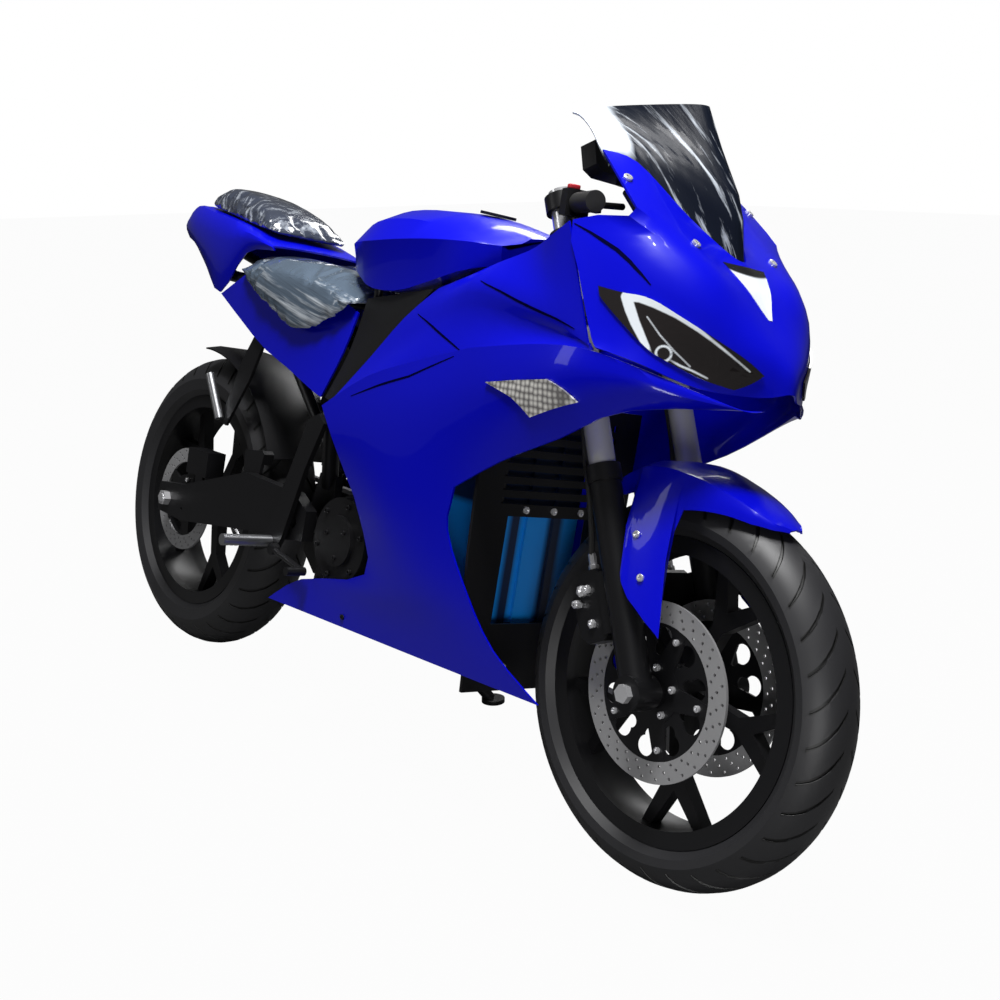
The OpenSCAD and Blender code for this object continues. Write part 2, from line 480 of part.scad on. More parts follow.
// Upper and lower edge of the left lens, from the side to the middle
lamp = [[[0.055, 0.668], [0.105, 0.656], [0.151, 0.63], [0.192, 0.626], [0.26, 0.646], [0.329, 0.717], [0.37, 0.808]],
        [[0.055, 0.699], [0.091, 0.763], [0.123, 0.828], [0.155, 0.872], [0.21, 0.888], [0.265, 0.909], [0.311, 0.936]]];
module headlights() color("#0c0d10") place() {
    patch(nose, lamp, 16, 6, 1.2, 4, false);
    patch(nose, [for (r = lamp) [for (i = [len(r) - 1 : -1 : 0]) [1 - r[i][0], r[i][1]]]], 16, 6, 1.2, 4, false);
}
blink = [[0.111, 0.384], [0.354, 0.455], [0.505, 0.677], [0.333, 0.717]];
module front_indicators() color("#d9dde2") place() for (s = [-1, 1])
    patch(sided(arm, s), blink, 8, 4, 0.9, 4.5, s < 0);
module dash() color("#141518") place() {
    translate([dash_x - 10, 0, dash_z + 30]) rotate([0, -20, 0]) translate([-15, 0, 0]) rotate([90, 0, 90]) linear_extrude(30)
        polygon([[-85, -20], [-68, -30], [68, -30], [85, -20], [85, 18], [62, 30], [-62, 30], [-85, 18]]);
    along_y(dash_x, dash_z, -20, 20, 6);
}
// Lining between the two side fairings, with louvres and a window on the battery. Columns: half width, z
lining = [[137, 196], [139, 232], [150, 290], [160, 345], [168, 420], [172, 520], [172, 672]];
module inner_panels() color("#131417") place() translate([down_x + down_r + seat_gap, 0, 0]) rotate([90, 0, 90]) linear_extrude(6) difference() {
    polygon(concat([for (p = lining) p], [for (i = [len(lining) - 1 : -1 : 0]) [-lining[i][0], lining[i][1]]]));
    translate([-batt_w - 4, batt_z + 8]) square([2 * batt_w + 8, 178]);
    for (k = [0 : 6]) translate([-118, batt_z + 206 + k * 22]) square([236, 10]);
}
tank_t = [[-188, 70, 868, 58, 846, 880], [-166, 106, 890, 94, 846, 928], [-122, 128, 894, 118, 838, 955], [-55, 150, 896, 136, 816, 970],
          [40, 160, 902, 146, 816, 974], [130, 162, 906, 150, 838, 966], [205, 150, 908, 144, 862, 953], [262, 118, 908, 112, 878, 938]];
function tank_under(x, i) = let (a = cr(tank_t, i / 18), b = cr(tank_t, (i + 1) / 18)) a[4] + (b[4] - a[4]) * (x - a[0]) / (b[0] - a[0]);
function tank_ring(c) = let (x = c[0], h = [[0, c[5]], [c[1] * 0.5, c[5] - 9], [c[1] * 0.86, c[5] - 34], [c[1], c[2]], [c[3] + 4, (c[2] + c[4]) / 2], [c[3], c[4]]])
    concat([for (p = h) [x, p[0], p[1]]], [for (i = [5 : -1 : 1]) [x, -h[i][0], h[i][1]]]);
module tank() color("#0b1fd6") place() loft([for (i = [0 : 18]) tank_ring(cr(tank_t, i / 18))]);
module tank_cap() color("#08090b") place() {
    a = cr(tank_t, 11 / 18); b = cr(tank_t, 12 / 18); c = cr(tank_t, 13 / 18);
    translate([b[0], 0, b[5] + seat_gap]) rotate([0, -atan2(c[5] - a[5], c[0] - a[0]), 0]) cylinder(r = 32, h = 5);
}
module frame_covers() color("#141518") place() for (s = [-1, 1]) side_sheet(cover, s, 6, 6);
// Rider seat: a saddle section, columns x, top, half width, skirt height, under
seat_t = [[-522, 847, 124, seat_under, seat_under], [-460, 853, 136, 785, seat_under], [-370, 853, 141, 746, seat_under], [-280, 846, 143, 712, seat_under],
          [-200, 837, 143, 722, seat_under - 4], [-135, 824, 142, 752, 796], [-100, 812, 140, 784, 784]];
function seat_ring(c) = let (x = c[0], w = c[2], h = [[0, c[1] - 3], [w * 0.45, c[1]], [w * 0.8, c[1] - 8], [w + 1, c[1] - 32], [w + 4, (c[1] + c[3]) / 2 - 8],
    [w + 2, c[3] + 6], [w - 2, c[3]], [w - 6, c[4]], [w * 0.5, c[4]], [0, c[4]]])
    concat([for (p = h) [x, p[0], p[1]]], [for (i = [8 : -1 : 1]) [x, -h[i][0], h[i][1]]]);
module rider_seat() color("#2a2c31") place() loft([for (i = [0 : 12]) seat_ring(cr(seat_t, i / 12))]);
// Pillion seat: columns x, top, half width, under
pill_t = [[-815, 968, 40, 951], [-795, 984, 56, 949], [-730, 990, 74, 941], [-640, 978, 86, 926], [-560, 956, 92, 913], [-490, 928, 90, 901], [-470, 912, 80, 899]];
function pill_ring(c) = let (x = c[0], w = c[2], t = c[1], b = c[3], h = [[0, t], [w * 0.55, t - 3], [w * 0.92, t - (t - b) * 0.35], [w, b + (t - b) * 0.3], [w * 0.93, b + 1], [w * 0.5, b], [0, b]])
    concat([for (p = h) [x, p[0], p[1]]], [for (i = [5 : -1 : 1]) [x, -h[i][0], h[i][1]]]);
module pillion_seat() color("#2a2c31") place() loft([for (i = [0 : 12]) pill_ring(cr(pill_t, i / 12))]);
module tail_cowl() color("#0b1fd6") place() patch(tail, [[0, 0], [1, 0], [1, 1], [0, 1]], 22, 15, -skin, 0, false);
module tail_panels() color("#0b1fd6") place() for (s = [-1, 1]) side_sheet(flank, s, 10, 6);
module tail_light() color("#5a0c10") place() translate([lamp_x, -27, 888]) cube([8, 54, 36]);

// Steering body
module yoke(z, t, r, stem) translate([0, 0, z]) difference() {
    linear_extrude(t) difference() {
        union() {
            for (s = [-1, 1]) translate([0, s * fork_y]) circle(r);
            polygon([[-fork_offset - stem, -stem * 0.8], [-fork_offset - stem, stem * 0.8], [-r * 0.85, fork_y], [r * 0.6, fork_y - 4],
                [-fork_offset + stem + 8, stem], [-fork_offset + stem + 8, -stem], [r * 0.6, 4 - fork_y], [-r * 0.85, -fork_y]]);
        }
        for (s = [-1, 1]) translate([0, s * fork_y]) circle(tube_r + seat_gap);
    }
}
module yokes() color("#1b1d20") place() fork_frame() {
    yoke(562, 28, 30, 30);
    yoke(688, 22, 28, 28);
    translate([-fork_offset, 0, 566]) cylinder(r = stem_r, h = 158);
    translate([-fork_offset, 0, 709]) cylinder(r = 17, h = 14, $fn = 6);
}
module fork_tubes() color("#c9ccd0") place() fork_frame() for (s = [-1, 1])
    translate([0, s * fork_y, 30]) cylinder(r = tube_r, h = fork_l - 30);
// Front fender: columns angle of the crest, gap of the crest over the tyre, shoulder half width, side drop, lean of the drop, half width at its end
fend_t = [[118, 37, 62, 12, 0.3, 64], [108.2, 46, 68, 20, 0.3, 71], [107, 47, 72, 146, 0.33, 130], [104, 47, 75, 172, 0.31, 131], [97, 44, 76, 200, 0.28, 131], [92, 39, 73, 216, 0.27, 129],
          [91, 38, 72, 34, 0.15, 78], [80, 27, 59, 21, 0.05, 63], [70, 20, 46, 13, 0, 49], [64.5, 18, 30, 9, 0, 33], [61.5, 17, 12, 5, 0, 14]];
function fend(c) = let (q = function(r, w) [xf + r * cos(c[0]), w, zf + r * sin(c[0])], k = front_r + c[1], b = q(k - 32 * pow(c[2] / 75, 2), c[2]), d = unit([c[4], -1]) * c[3])
    whole([[b[0] + d[0], c[5], b[2] + d[1]], [b[0] + d[0] / 2, c[2] * 0.35 + c[5] * 0.65, b[2] + d[1] / 2], b, q(k - 12 * c[2] / 75, c[2] * 0.92), q(k - 2, c[2] * 0.5), q(k, 0)]);
// Points on the fender's side arm: where two bolts a side hold it to bosses on the slider
fend_bolts = [0.2, 0.62];
fend_skin = 3;
function fend_at(t, f) = let (r = fend(lin(fend_t, t))) r[0] * (1 - f) + r[1] * f;
module fend_boss(s, f) {
    k = 0.33; p = fend_at(k, f); d = unit(cross(fend_at(k + 0.02, f) - fend_at(k - 0.02, f), fend_at(k, f + 0.05) - fend_at(k, f - 0.05)));
    z = p[2] - 6; l = xf - (z - zf) * tan(rake);
    strut2([l, s * fork_y, z], [p[0], s * p[1], p[2]], [d[0], s * d[1], d[2]], fend_skin);
}
module fork_sliders() color("#131417") place() fork_frame() for (s = [-1, 1]) difference() {
    union() {
        translate([0, s * fork_y, -16]) cylinder(r = slider_r, h = slider_l + 16);
        translate([0, s * fork_y, slider_l - 26]) cylinder(r = slider_r + 2.5, h = 26);
        translate([0, s * fork_y, 0]) rotate([90, 0, 0]) cylinder(r = 26, h = 2 * slider_r, center = true);
        translate([-slider_r - 16, s * fork_y - 8, 92]) cube([20, 16, 92]);
        fork_undo() for (f = fend_bolts) fend_boss(s, f);
    }
    translate([0, s * fork_y, 30 - seat_gap]) cylinder(r = tube_r + seat_gap, h = slider_l);
    translate([0, s * fork_y, 0]) rotate([90, 0, 0]) cylinder(r = axle_r + seat_gap, h = 80, center = true);
}
module front_axle() color("#aeb1b5") place() translate([xf, 0, zf]) {
    along_y(0, 0, -fork_y - slider_r - 10, fork_y + slider_r + 10, axle_r);
    for (s = [-1, 1]) translate([0, s * (fork_y + slider_r + 5 + seat_gap), 0]) rotate([90, 0, 0]) cylinder(r = 14, h = 10, center = true, $fn = 6);
    for (s = [-1, 1]) translate([0, s * (fork_y - slider_r - 4 - seat_gap), 0]) rotate([90, 0, 0]) cylinder(r = 16, h = 8, center = true);
}
module front_calipers() color("#202226") place() fork_frame() for (s = [-1, 1]) difference() {
    translate([-slider_r - 16 - seat_gap, s * 76 + 25, 84]) rotate([90, 0, 0]) linear_extrude(50)
        polygon([[0, 6], [-8, 0], [-42, 0], [-54, 14], [-58, 40], [-56, 74], [-46, 98], [-34, 108], [-6, 108], [0, 102]]);
    rotate([90, 0, 0]) cylinder(r = disc_r + turn_gap, h = 2 * (disc_y + disc_t / 2 + turn_gap), center = true);
}
module front_fender() color("#0b1fd6") place() {
    g = [for (i = [0 : 36]) fend(lin(fend_t, i / 36))];
    n = len(g) - 1; m = len(g[0]) - 1;
    N = [for (i = [0 : n]) [for (j = [0 : m]) unit(cross(g[min(i + 1, n)][j] - g[max(i - 1, 0)][j], g[i][min(j + 1, m)] - g[i][max(j - 1, 0)]))]];
    sheet(g, [for (i = [0 : n]) [for (j = [0 : m]) g[i][j] + N[i][j] * fend_skin]], false);
}
module handlebars() color("#101114") place() fork_frame() for (s = [-1, 1]) difference() {
    union() {
        translate([0, s * fork_y, bar_z - 13]) cylinder(r = 28, h = 26);
        translate([0, s * fork_y, bar_z]) rotate([0, rake, 0]) rotate([0, 0, s * bar_swing]) rotate([0, 90, 0]) cylinder(d = bar_d, h = bar_l);
    }
    translate([0, s * fork_y, bar_z - 40]) cylinder(r = tube_r + seat_gap, h = 80);
}
module on_bar(s) fork_frame() translate([0, s * fork_y, bar_z]) rotate([0, rake, 0]) rotate([0, 0, s * bar_swing]) children();
module grips() color("#0b0c0e") place() for (s = [-1, 1]) on_bar(s) difference() {
    translate([64, 0, 0]) rotate([0, 90, 0]) cylinder(r = 16, h = bar_l - 64 + 6);
    translate([60, 0, 0]) rotate([0, 90, 0]) cylinder(d = bar_d + 2 * seat_gap, h = bar_l - 60 + seat_gap);
}
module bar_controls() color("#0e0f11") place() for (s = [-1, 1]) on_bar(s) difference() {
    union() {
        translate([36, -19, -20]) cube([26, 38, 40]);
        translate([40, s > 0 ? -40 : 6, -8]) cube([20, 34, 26]);
        rod([52, -s * 34, 4], [bar_l, -s * 46, 0], 5);
    }
    translate([30, 0, 0]) rotate([0, 90, 0]) cylinder(d = bar_d + 2 * seat_gap, h = 40);
}
hose_r = 4.5;
module brake_hoses() color("#0d0e10") place() fork_frame() for (s = [-1, 1])
    tube([[-62, s * 86, 192 + seat_gap], [-62, s * 87, 215], [-50, s * 92, 250], [-36, s * fork_y, 300], [-34, s * fork_y, 350],
        [-28, s * fork_y, 400], [-27, s * fork_y, 480], [-27, s * fork_y, 562 - seat_gap]], hose_r, 28);
// Wheels, drawn round the Y axis at their own axle
module tyre(R, w, rc, rim, bead_r) {
    a = [0, 12, 24, 36, 48, 60, 72];
    h = concat([for (t = a) [R - rc + rc * cos(t), rc * sin(t)]], [[bead_r + 24, w * 0.48], [bead_r + flange_h + 0.6, rim / 2 + flange_t * 0.7],
        [bead_r + flange_h + 0.6, rim / 2 - seat_gap], [bead_r + seat_gap, rim / 2 - seat_gap]]);
    n = len(h);
    rotate([90, 0, 0]) rotate_extrude($fn = 72) polygon(concat(h, [for (i = [n - 1 : -1 : 1]) [h[i][0], -h[i][1]]]));
}
module rim(w, hub_r, hub_w, bore, bead_r) difference() {
    spoke_x = sqrt(pow(bead_r - 4, 2) - 62 * 62);
    union() {
        rotate([90, 0, 0]) rotate_extrude($fn = 72) polygon([[bead_r - 14, -w / 2 - flange_t], [bead_r + flange_h, -w / 2 - flange_t], [bead_r + flange_h, -w / 2],
            [bead_r, -w / 2], [bead_r, w / 2], [bead_r + flange_h, w / 2], [bead_r + flange_h, w / 2 + flange_t], [bead_r - 14, w / 2 + flange_t],
            [bead_r - 8, w / 4], [bead_r - 8, -w / 4]]);
        rotate([90, 0, 0]) cylinder(r = hub_r, h = 2 * hub_w, center = true);
        for (k = [0 : spokes - 1]) rotate([0, k * 360 / spokes + 8, 0]) rotate([90, 0, 0]) translate([0, 0, -spoke_t / 2]) linear_extrude(spoke_t)
            polygon([[hub_r - 8, -spoke_w / 2], [split_r, -spoke_w * 0.4], [spoke_x, -62], [spoke_x, -42], [split_r + 30, 0],
                [spoke_x, 42], [spoke_x, 62], [split_r, spoke_w * 0.4], [hub_r - 8, spoke_w / 2]]);
    }
    rotate([90, 0, 0]) cylinder(r = bore, h = 2 * hub_w + 20, center = true);
}
module front_tyre() color("#0d0e0f") place() translate([xf, 0, zf]) tyre(front_r, front_w, front_rc, front_rim_w, front_r - front_sec);
module front_rim() color("#0e0f11") place() translate([xf, 0, zf]) rim(front_rim_w, 38, disc_y - disc_t / 2 - seat_gap, axle_r + run_gap, front_r - front_sec);
module brake_disc(r, ri, y, hub, bore) translate([0, y, 0]) rotate([90, 0, 0]) translate([0, 0, -disc_t / 2]) linear_extrude(disc_t) difference() {
    union() {
        difference() { circle(r); circle(ri); }
        difference() { circle(hub); circle(bore); }
        for (k = [0 : 4]) rotate(k * 72) polygon([[hub - 4, -17], [ri + 4, -9], [ri + 4, 9], [hub - 4, 17]]);
    }
}
module front_discs() color("#8d9094") place() translate([xf, 0, zf]) for (s = [-1, 1]) brake_disc(disc_r, disc_in, s * disc_y, 46, 24);
module rear_tyre() color("#0d0e0f") place() translate([-xf, 0, zr]) tyre(rear_r, rear_w, rear_rc, rear_rim_w, rear_r - rear_sec);
module rear_rim() color("#0e0f11") place() translate([-xf, 0, zr]) rim(rear_rim_w, 48, rdisc_y - disc_t / 2 - seat_gap, raxle_r + run_gap, rear_r - rear_sec);
module rear_disc() color("#8d9094") place() translate([-xf, 0, zr]) brake_disc(rdisc_r, rdisc_r - 30, -rdisc_y, 52, 32);
module rear_sprocket() color("#5d6064") place() translate([-xf, 0, zr]) brake_disc(sprocket_r, sprocket_r - 20, rdisc_y, 52, 32);
// Side stand body
module side_stand() color("#1a1b1e") place() difference() {
    stand_leg();
    along_y(stand_x, stand_z, stand_y - 20, stand_y + 20, stand_pin_r + run_gap);
}
module stand_leg() {
    p = [stand_x, stand_y, stand_z]; f = [foot_x, drop_y, drop_z];
    d = unit(f - p);
    rod(p + [0, 2, 0], f - d * 9, leg_r);
    along_y(stand_x, stand_z, stand_y - 14, stand_y + 14, 16);
    translate(f) rotate([lean, 0, 0]) cylinder(r = foot_r, h = 8);
}

main_frame();
swingarm();
rear_shock();
rear_axle();
rear_brake();
rear_hugger();
motor();
battery_pack();
chain();
peg_hangers();
rider_pegs();
pillion_pegs();
brake_pedal();
fairing_right();
fairing_left();
upper_panel_right();
upper_panel_left();
nose_cowl();
nose_stay();
windscreen();
headlights();
front_indicators();
dash();
inner_panels();
tank();
tank_cap();
frame_covers();
rider_seat();
pillion_seat();
tail_cowl();
tail_panels();
tail_light();
yokes();
fork_tubes();
fork_sliders();
front_axle();
front_calipers();
front_fender();
handlebars();
grips();
bar_controls();
brake_hoses();
front_tyre();
front_rim();
front_discs();
rear_tyre();
rear_rim();
rear_disc();
rear_sprocket();
side_stand();
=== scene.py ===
# %% [markdown]
# # Dressing an electric motorcycle
# The solids from the CAD model are loaded first. They stay where they are.
# Everything after that is about looks: paint, film, lamps, tread and bolts.

import json
import math

import bpy
from mathutils import Matrix, Vector


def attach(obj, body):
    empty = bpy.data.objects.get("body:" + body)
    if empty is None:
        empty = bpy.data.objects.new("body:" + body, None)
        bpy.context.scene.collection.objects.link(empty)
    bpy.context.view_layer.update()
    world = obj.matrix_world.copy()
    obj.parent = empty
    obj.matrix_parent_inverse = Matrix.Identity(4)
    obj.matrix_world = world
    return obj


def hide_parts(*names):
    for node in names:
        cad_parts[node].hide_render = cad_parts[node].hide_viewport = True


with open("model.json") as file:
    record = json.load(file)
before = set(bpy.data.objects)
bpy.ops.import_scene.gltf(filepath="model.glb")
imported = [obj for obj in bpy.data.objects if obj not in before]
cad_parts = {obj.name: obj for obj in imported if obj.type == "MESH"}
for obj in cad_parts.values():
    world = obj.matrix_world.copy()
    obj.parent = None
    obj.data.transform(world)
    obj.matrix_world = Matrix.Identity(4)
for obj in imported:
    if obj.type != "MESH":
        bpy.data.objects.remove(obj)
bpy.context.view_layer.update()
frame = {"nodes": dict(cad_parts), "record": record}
nodes = frame["nodes"]
print("loaded", len(nodes), "solids")

# %% [markdown]
# ## Where things are
# Sizes come from the CAD source, in millimetres, on the upright motorcycle.
# `at` leans such a point over on the side stand and turns it into metres.
# `fork` does the same for points measured along the fork from the axle.
# `on_circle` gives a point on a circle round a cross axis, such as an axle.

# %% Frames of reference
LEAN, MID_X, MID_Y = 12, -10.5, 100.6
RAKE, AXLE_X, AXLE_Z = 25, 690, 294.3
REAR_Z = 315.66
PLACE = Matrix.Translation((-MID_X / 1000, -MID_Y / 1000, 0)) @ Matrix.Rotation(math.radians(-LEAN), 4, "X")
FORK = PLACE @ Matrix.Translation((AXLE_X / 1000, 0, AXLE_Z / 1000)) @ Matrix.Rotation(math.radians(-RAKE), 4, "Y")
UNDO = PLACE.inverted()
AHEAD, SIDE = [(PLACE.to_3x3() @ Vector(axis)).normalized() for axis in ((1, 0, 0), (0, 1, 0))]
FORK_UP = (FORK.to_3x3() @ Vector((0, 0, 1))).normalized()


def at(x, y, z):
    return PLACE @ Vector((x / 1000, y / 1000, z / 1000))


def fork(x, y, z):
    return FORK @ Vector((x / 1000, y / 1000, z / 1000))


def on_circle(x, y, z, radius, angle):
    return at(x + radius * math.cos(angle), y, z + radius * math.sin(angle))


print("front axle at", [round(c, 3) for c in at(AXLE_X, 0, AXLE_Z)])

# %% [markdown]
# ## Materials
# One function builds a Principled material, with an optional fine bump.
# The noise reads Object coordinates, so it stays with its piece.
# A second function mixes two colours into a material by a share from 0 to 1.

# %% Material maker
COAT_ROUGH, GRAIN_DEPTH = 0.03, 0.002


def material(name, color, rough, metal=0.0, coat=0.0, bump=0.0, scale=300.0, spec=0.5):
    m = bpy.data.materials.new(name)
    m.use_nodes = True
    tree = m.node_tree
    b = tree.nodes["Principled BSDF"]
    b.inputs["Base Color"].default_value = (*color, 1)
    b.inputs["Roughness"].default_value = rough
    b.inputs["Metallic"].default_value = metal
    b.inputs["Coat Weight"].default_value = coat
    b.inputs["Coat Roughness"].default_value = COAT_ROUGH
    b.inputs["Specular IOR Level"].default_value = spec
    if bump:
        c = tree.nodes.new("ShaderNodeTexCoord")
        n = tree.nodes.new("ShaderNodeTexNoise")
        n.inputs["Scale"].default_value = scale
        n.inputs["Detail"].default_value = 4
        h = tree.nodes.new("ShaderNodeBump")
        h.inputs["Strength"].default_value = bump
        h.inputs["Distance"].default_value = GRAIN_DEPTH
        tree.links.new(c.outputs["Object"], n.inputs["Vector"])
        tree.links.new(n.outputs["Fac"], h.inputs["Height"])
        tree.links.new(h.outputs["Normal"], b.inputs["Normal"])
    return m


def mix_colours(mat, share, first, second):
    tree = mat.node_tree
    mix = tree.nodes.new("ShaderNodeMix")
    mix.data_type = "RGBA"
    mix.inputs[6].default_value, mix.inputs[7].default_value = (*first, 1), (*second, 1)
    tree.links.new(share, mix.inputs[0])
    tree.links.new(mix.outputs[2], tree.nodes["Principled BSDF"].inputs["Base Color"])


SURFACES = {
    "blue_paint": dict(color=(0.001, 0.002, 0.46), rough=0.3, coat=0.45, spec=0.12),
    "black_plastic": dict(color=(0.007, 0.007, 0.008), rough=0.45, bump=0.1, scale=900, spec=0.25),
    "black_metal": dict(color=(0.007, 0.007, 0.008), rough=0.36, metal=0.1, spec=0.35),
    "seat_cover": dict(color=(0.012, 0.013, 0.016), rough=0.4, coat=0.5),
    "black_rubber": dict(color=(0.012, 0.012, 0.012), rough=0.6, bump=0.2, scale=700),
    "road_tyre": dict(color=(0.013, 0.013, 0.014), rough=0.55, bump=0.25, scale=500),
    "steel": dict(color=(0.42, 0.42, 0.43), rough=0.38, metal=0.55, bump=0.05, scale=800),
    "bright_steel": dict(color=(0.72, 0.72, 0.74), rough=0.2, metal=0.65),
    "alloy": dict(color=(0.55, 0.56, 0.58), rough=0.34, metal=1.0),
    "battery_case": dict(color=(0.0, 0.19, 0.62), rough=0.38),
    "smoke": dict(color=(0.012, 0.014, 0.018), rough=0.08, coat=1.0),
    "lamp_dark": dict(color=(0.006, 0.007, 0.009), rough=0.06, coat=1.0),
    "lamp_clear": dict(color=(0.55, 0.57, 0.58), rough=0.12, metal=0.5, coat=1.0),
    "lamp_red": dict(color=(0.35, 0.005, 0.008), rough=0.12, coat=1.0),
    "motor_black": dict(color=(0.008, 0.008, 0.009), rough=0.38, metal=0.2, spec=0.35),
    "white_paint": dict(color=(0.8, 0.82, 0.86), rough=0.22, coat=1.0),
    # Dark navy for the panel-line ribbons: painted shade along creases and panel steps.
    "crease_shade": dict(color=(0.0003, 0.0004, 0.02), rough=0.6, spec=0.02),
    "red_switch": dict(color=(0.42, 0.02, 0.03), rough=0.35),
}
MATS = {name: material(name, **look) for name, look in SURFACES.items()}
print("made", len(MATS), "materials")

# %% [markdown]
# ## Smooth copies of the solids
# A CAD mesh arrives with its faces split. Each one gets a copy whose corners are merged.
# The copy is shaded smooth up to an angle and stands for the solid, which stays as it was.

# %% Copy, merge and shade
SLOT = {p["node"]: p["material_slot"] for p in frame["record"]["subparts"]}
OTHER_LOOK = {"motor": "motor_black", "rear_shock": "black_metal"}
MERGE = 0.00002
CAD_ANGLE, SMALL_ANGLE, CUBE_ANGLE = math.radians(32), math.radians(40), math.radians(35)


def only(obj):
    bpy.ops.object.select_all(action="DESELECT")
    obj.select_set(True)
    bpy.context.view_layer.objects.active = obj


def edit(obj):
    only(obj)
    bpy.ops.object.mode_set(mode="EDIT")
    bpy.ops.mesh.select_all(action="SELECT")


def leave():
    bpy.ops.object.mode_set(mode="OBJECT")


def body_of(node):
    return next(b for b, members in frame["record"]["behaviour"]["bodies"].items() if node in members)


def dress(node):
    mesh = nodes[node].data.copy()
    obj = bpy.data.objects.new("look_" + node, mesh)
    bpy.context.scene.collection.objects.link(obj)
    edit(obj)
    bpy.ops.mesh.customdata_custom_splitnormals_clear()
    bpy.ops.mesh.remove_doubles(threshold=MERGE)
    bpy.ops.mesh.normals_make_consistent(inside=False)
    leave()
    bpy.ops.object.shade_smooth_by_angle(angle=CAD_ANGLE)
    mesh.materials.clear()
    mesh.materials.append(MATS[OTHER_LOOK.get(node, SLOT[node])])
    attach(obj, body_of(node))
    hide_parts(node)
    return obj


looks = {n: dress(n) for n in nodes}
for node in ("front_axle", "rear_axle"):
    looks[node].data.materials[0] = MATS["bright_steel"]
print("dressed", len(looks), "solids")

# %% [markdown]
# ## Bolts
# One bolt is modelled from a cylinder of radius and height 1.
# The top face is inset and raised into a dome, then a recess is pushed in.
# Copies of it are turned to each place and joined, so every group of bolts is one piece.

# %% Bolt and copier
DOME_IN, DOME_UP, RECESS_IN, RECESS_DOWN = 0.3, 0.25, 0.22, 0.5


def pick_faces(obj, test):
    bpy.ops.object.mode_set(mode="OBJECT")
    mesh = obj.data
    for part in (mesh.vertices, mesh.edges, mesh.polygons):
        part.foreach_set("select", [False] * len(part))
    for p in mesh.polygons:
        p.select = test(p)
    bpy.ops.object.mode_set(mode="EDIT")
    bpy.ops.mesh.select_mode(type="FACE")


def bolt_shape(name, sides):
    bpy.ops.object.select_all(action="DESELECT")
    bpy.ops.mesh.primitive_cylinder_add(vertices=sides, radius=1, depth=1, location=(0, 0, 0.5))
    obj = bpy.context.object
    obj.name = name
    bpy.ops.object.transform_apply(location=True)
    pick_faces(obj, lambda p: p.normal.z > 0.9)
    bpy.ops.mesh.inset(thickness=DOME_IN)
    bpy.ops.transform.translate(value=(0, 0, DOME_UP))
    bpy.ops.mesh.inset(thickness=RECESS_IN)
    bpy.ops.mesh.extrude_region_move(TRANSFORM_OT_translate={"value": (0, 0, -RECESS_DOWN)})
    leave()
    bpy.ops.object.shade_smooth_by_angle(angle=SMALL_ANGLE)
    return obj


def twin(obj):
    other = obj.copy()
    other.data = obj.data.copy()
    bpy.context.scene.collection.objects.link(other)
    return other


def joined(objects):
    bpy.ops.object.select_all(action="DESELECT")
    for obj in objects:
        obj.select_set(True)
    bpy.context.view_layer.objects.active = objects[0]
    bpy.ops.object.join()
    bpy.ops.object.transform_apply(location=True, rotation=True, scale=True)
    return bpy.context.object


def copies(proto, name, spots, body, mat):
    """spots are (place, direction, radius, height), all in metres."""
    made = []
    for place, axis, radius, height in spots:
        obj = twin(proto)
        turn = Vector(axis).to_track_quat("Z", "Y").to_matrix().to_4x4()
        obj.matrix_world = Matrix.Translation(place) @ turn @ Matrix.Diagonal((radius, radius, height, 1))
        made.append(obj)
    whole = joined(made)
    whole.name = name
    whole.data.materials.clear()
    whole.data.materials.append(MATS[mat])
    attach(whole, body)


def ring(x, z, y, radius, count, turn, size, height, side):
    """Spots of count bolts round the cross axis at x and z, in millimetres and degrees."""
    angles = [math.radians(turn + 360 * k / count) for k in range(count)]
    return [(on_circle(x, y, z, radius, a), SIDE * side, size / 1000, height / 1000) for a in angles]


dome = bolt_shape("bolt_dome", 20)
hexa = bolt_shape("bolt_hex", 6)
print("bolt shapes ready")

# %% [markdown]
# ## Brake discs
# The swept ring is drilled with rows of small holes. The cutters are one cylinder copied round the axle.
# A Boolean modifier takes them out, and the carrier inside the ring is painted black.

# %% Drilled discs
HOLE = 2.6
FRONT_ROWS = [(107, 30, 0, HOLE), (116, 30, 4, HOLE), (126, 30, 8, HOLE)]
REAR_ROWS = [(87, 24, 0, HOLE), (95, 24, 5, HOLE), (103, 24, 10, HOLE)]
FRONT_REACH, REAR_REACH = (-80, 80), (-100, -76)
FRONT_SWEPT, REAR_SWEPT = 100, 79
DISC_FACE, HUB_FACE = 64.1, 90.3


def cylinder(place, axis, length, radius, sides):
    bpy.ops.object.select_all(action="DESELECT")
    bpy.ops.mesh.primitive_cylinder_add(
        vertices=sides, radius=radius / 1000, depth=length, location=place,
        rotation=axis.to_track_quat("Z", "Y").to_euler())
    return bpy.context.object


def cut(obj, cutters):
    """Joins the cutters and takes them out of obj."""
    cutter = joined(cutters)
    only(obj)
    mod = obj.modifiers.new("cut", "BOOLEAN")
    mod.operation = "DIFFERENCE"
    mod.solver = "EXACT"
    mod.object = cutter
    bpy.ops.object.modifier_apply(modifier="cut")
    bpy.data.objects.remove(cutter)
    bpy.ops.object.shade_smooth_by_angle(angle=CAD_ANGLE)


def drill(obj, x, z, reach, rows, sides=10):
    """rows are (radius of the row, count, turn in degrees, radius of the hole)."""
    made = []
    for radius, count, turn, size in rows:
        for k in range(count):
            a = math.radians(turn + 360 * k / count)
            start, end = [on_circle(x, y, z, radius, a) for y in reach]
            made.append(cylinder((start + end) / 2, end - start, (end - start).length, size, sides))
    cut(obj, made)


def two_tone(obj, x, z, radius, inner):
    """Faces nearer to the axle than radius take the inner material."""
    obj.data.materials.append(MATS[inner])
    axle = at(x, 0, z)
    for p in obj.data.polygons:
        d = p.center - axle
        d -= SIDE * d.dot(SIDE)
        p.material_index = 1 if d.length < radius / 1000 else 0


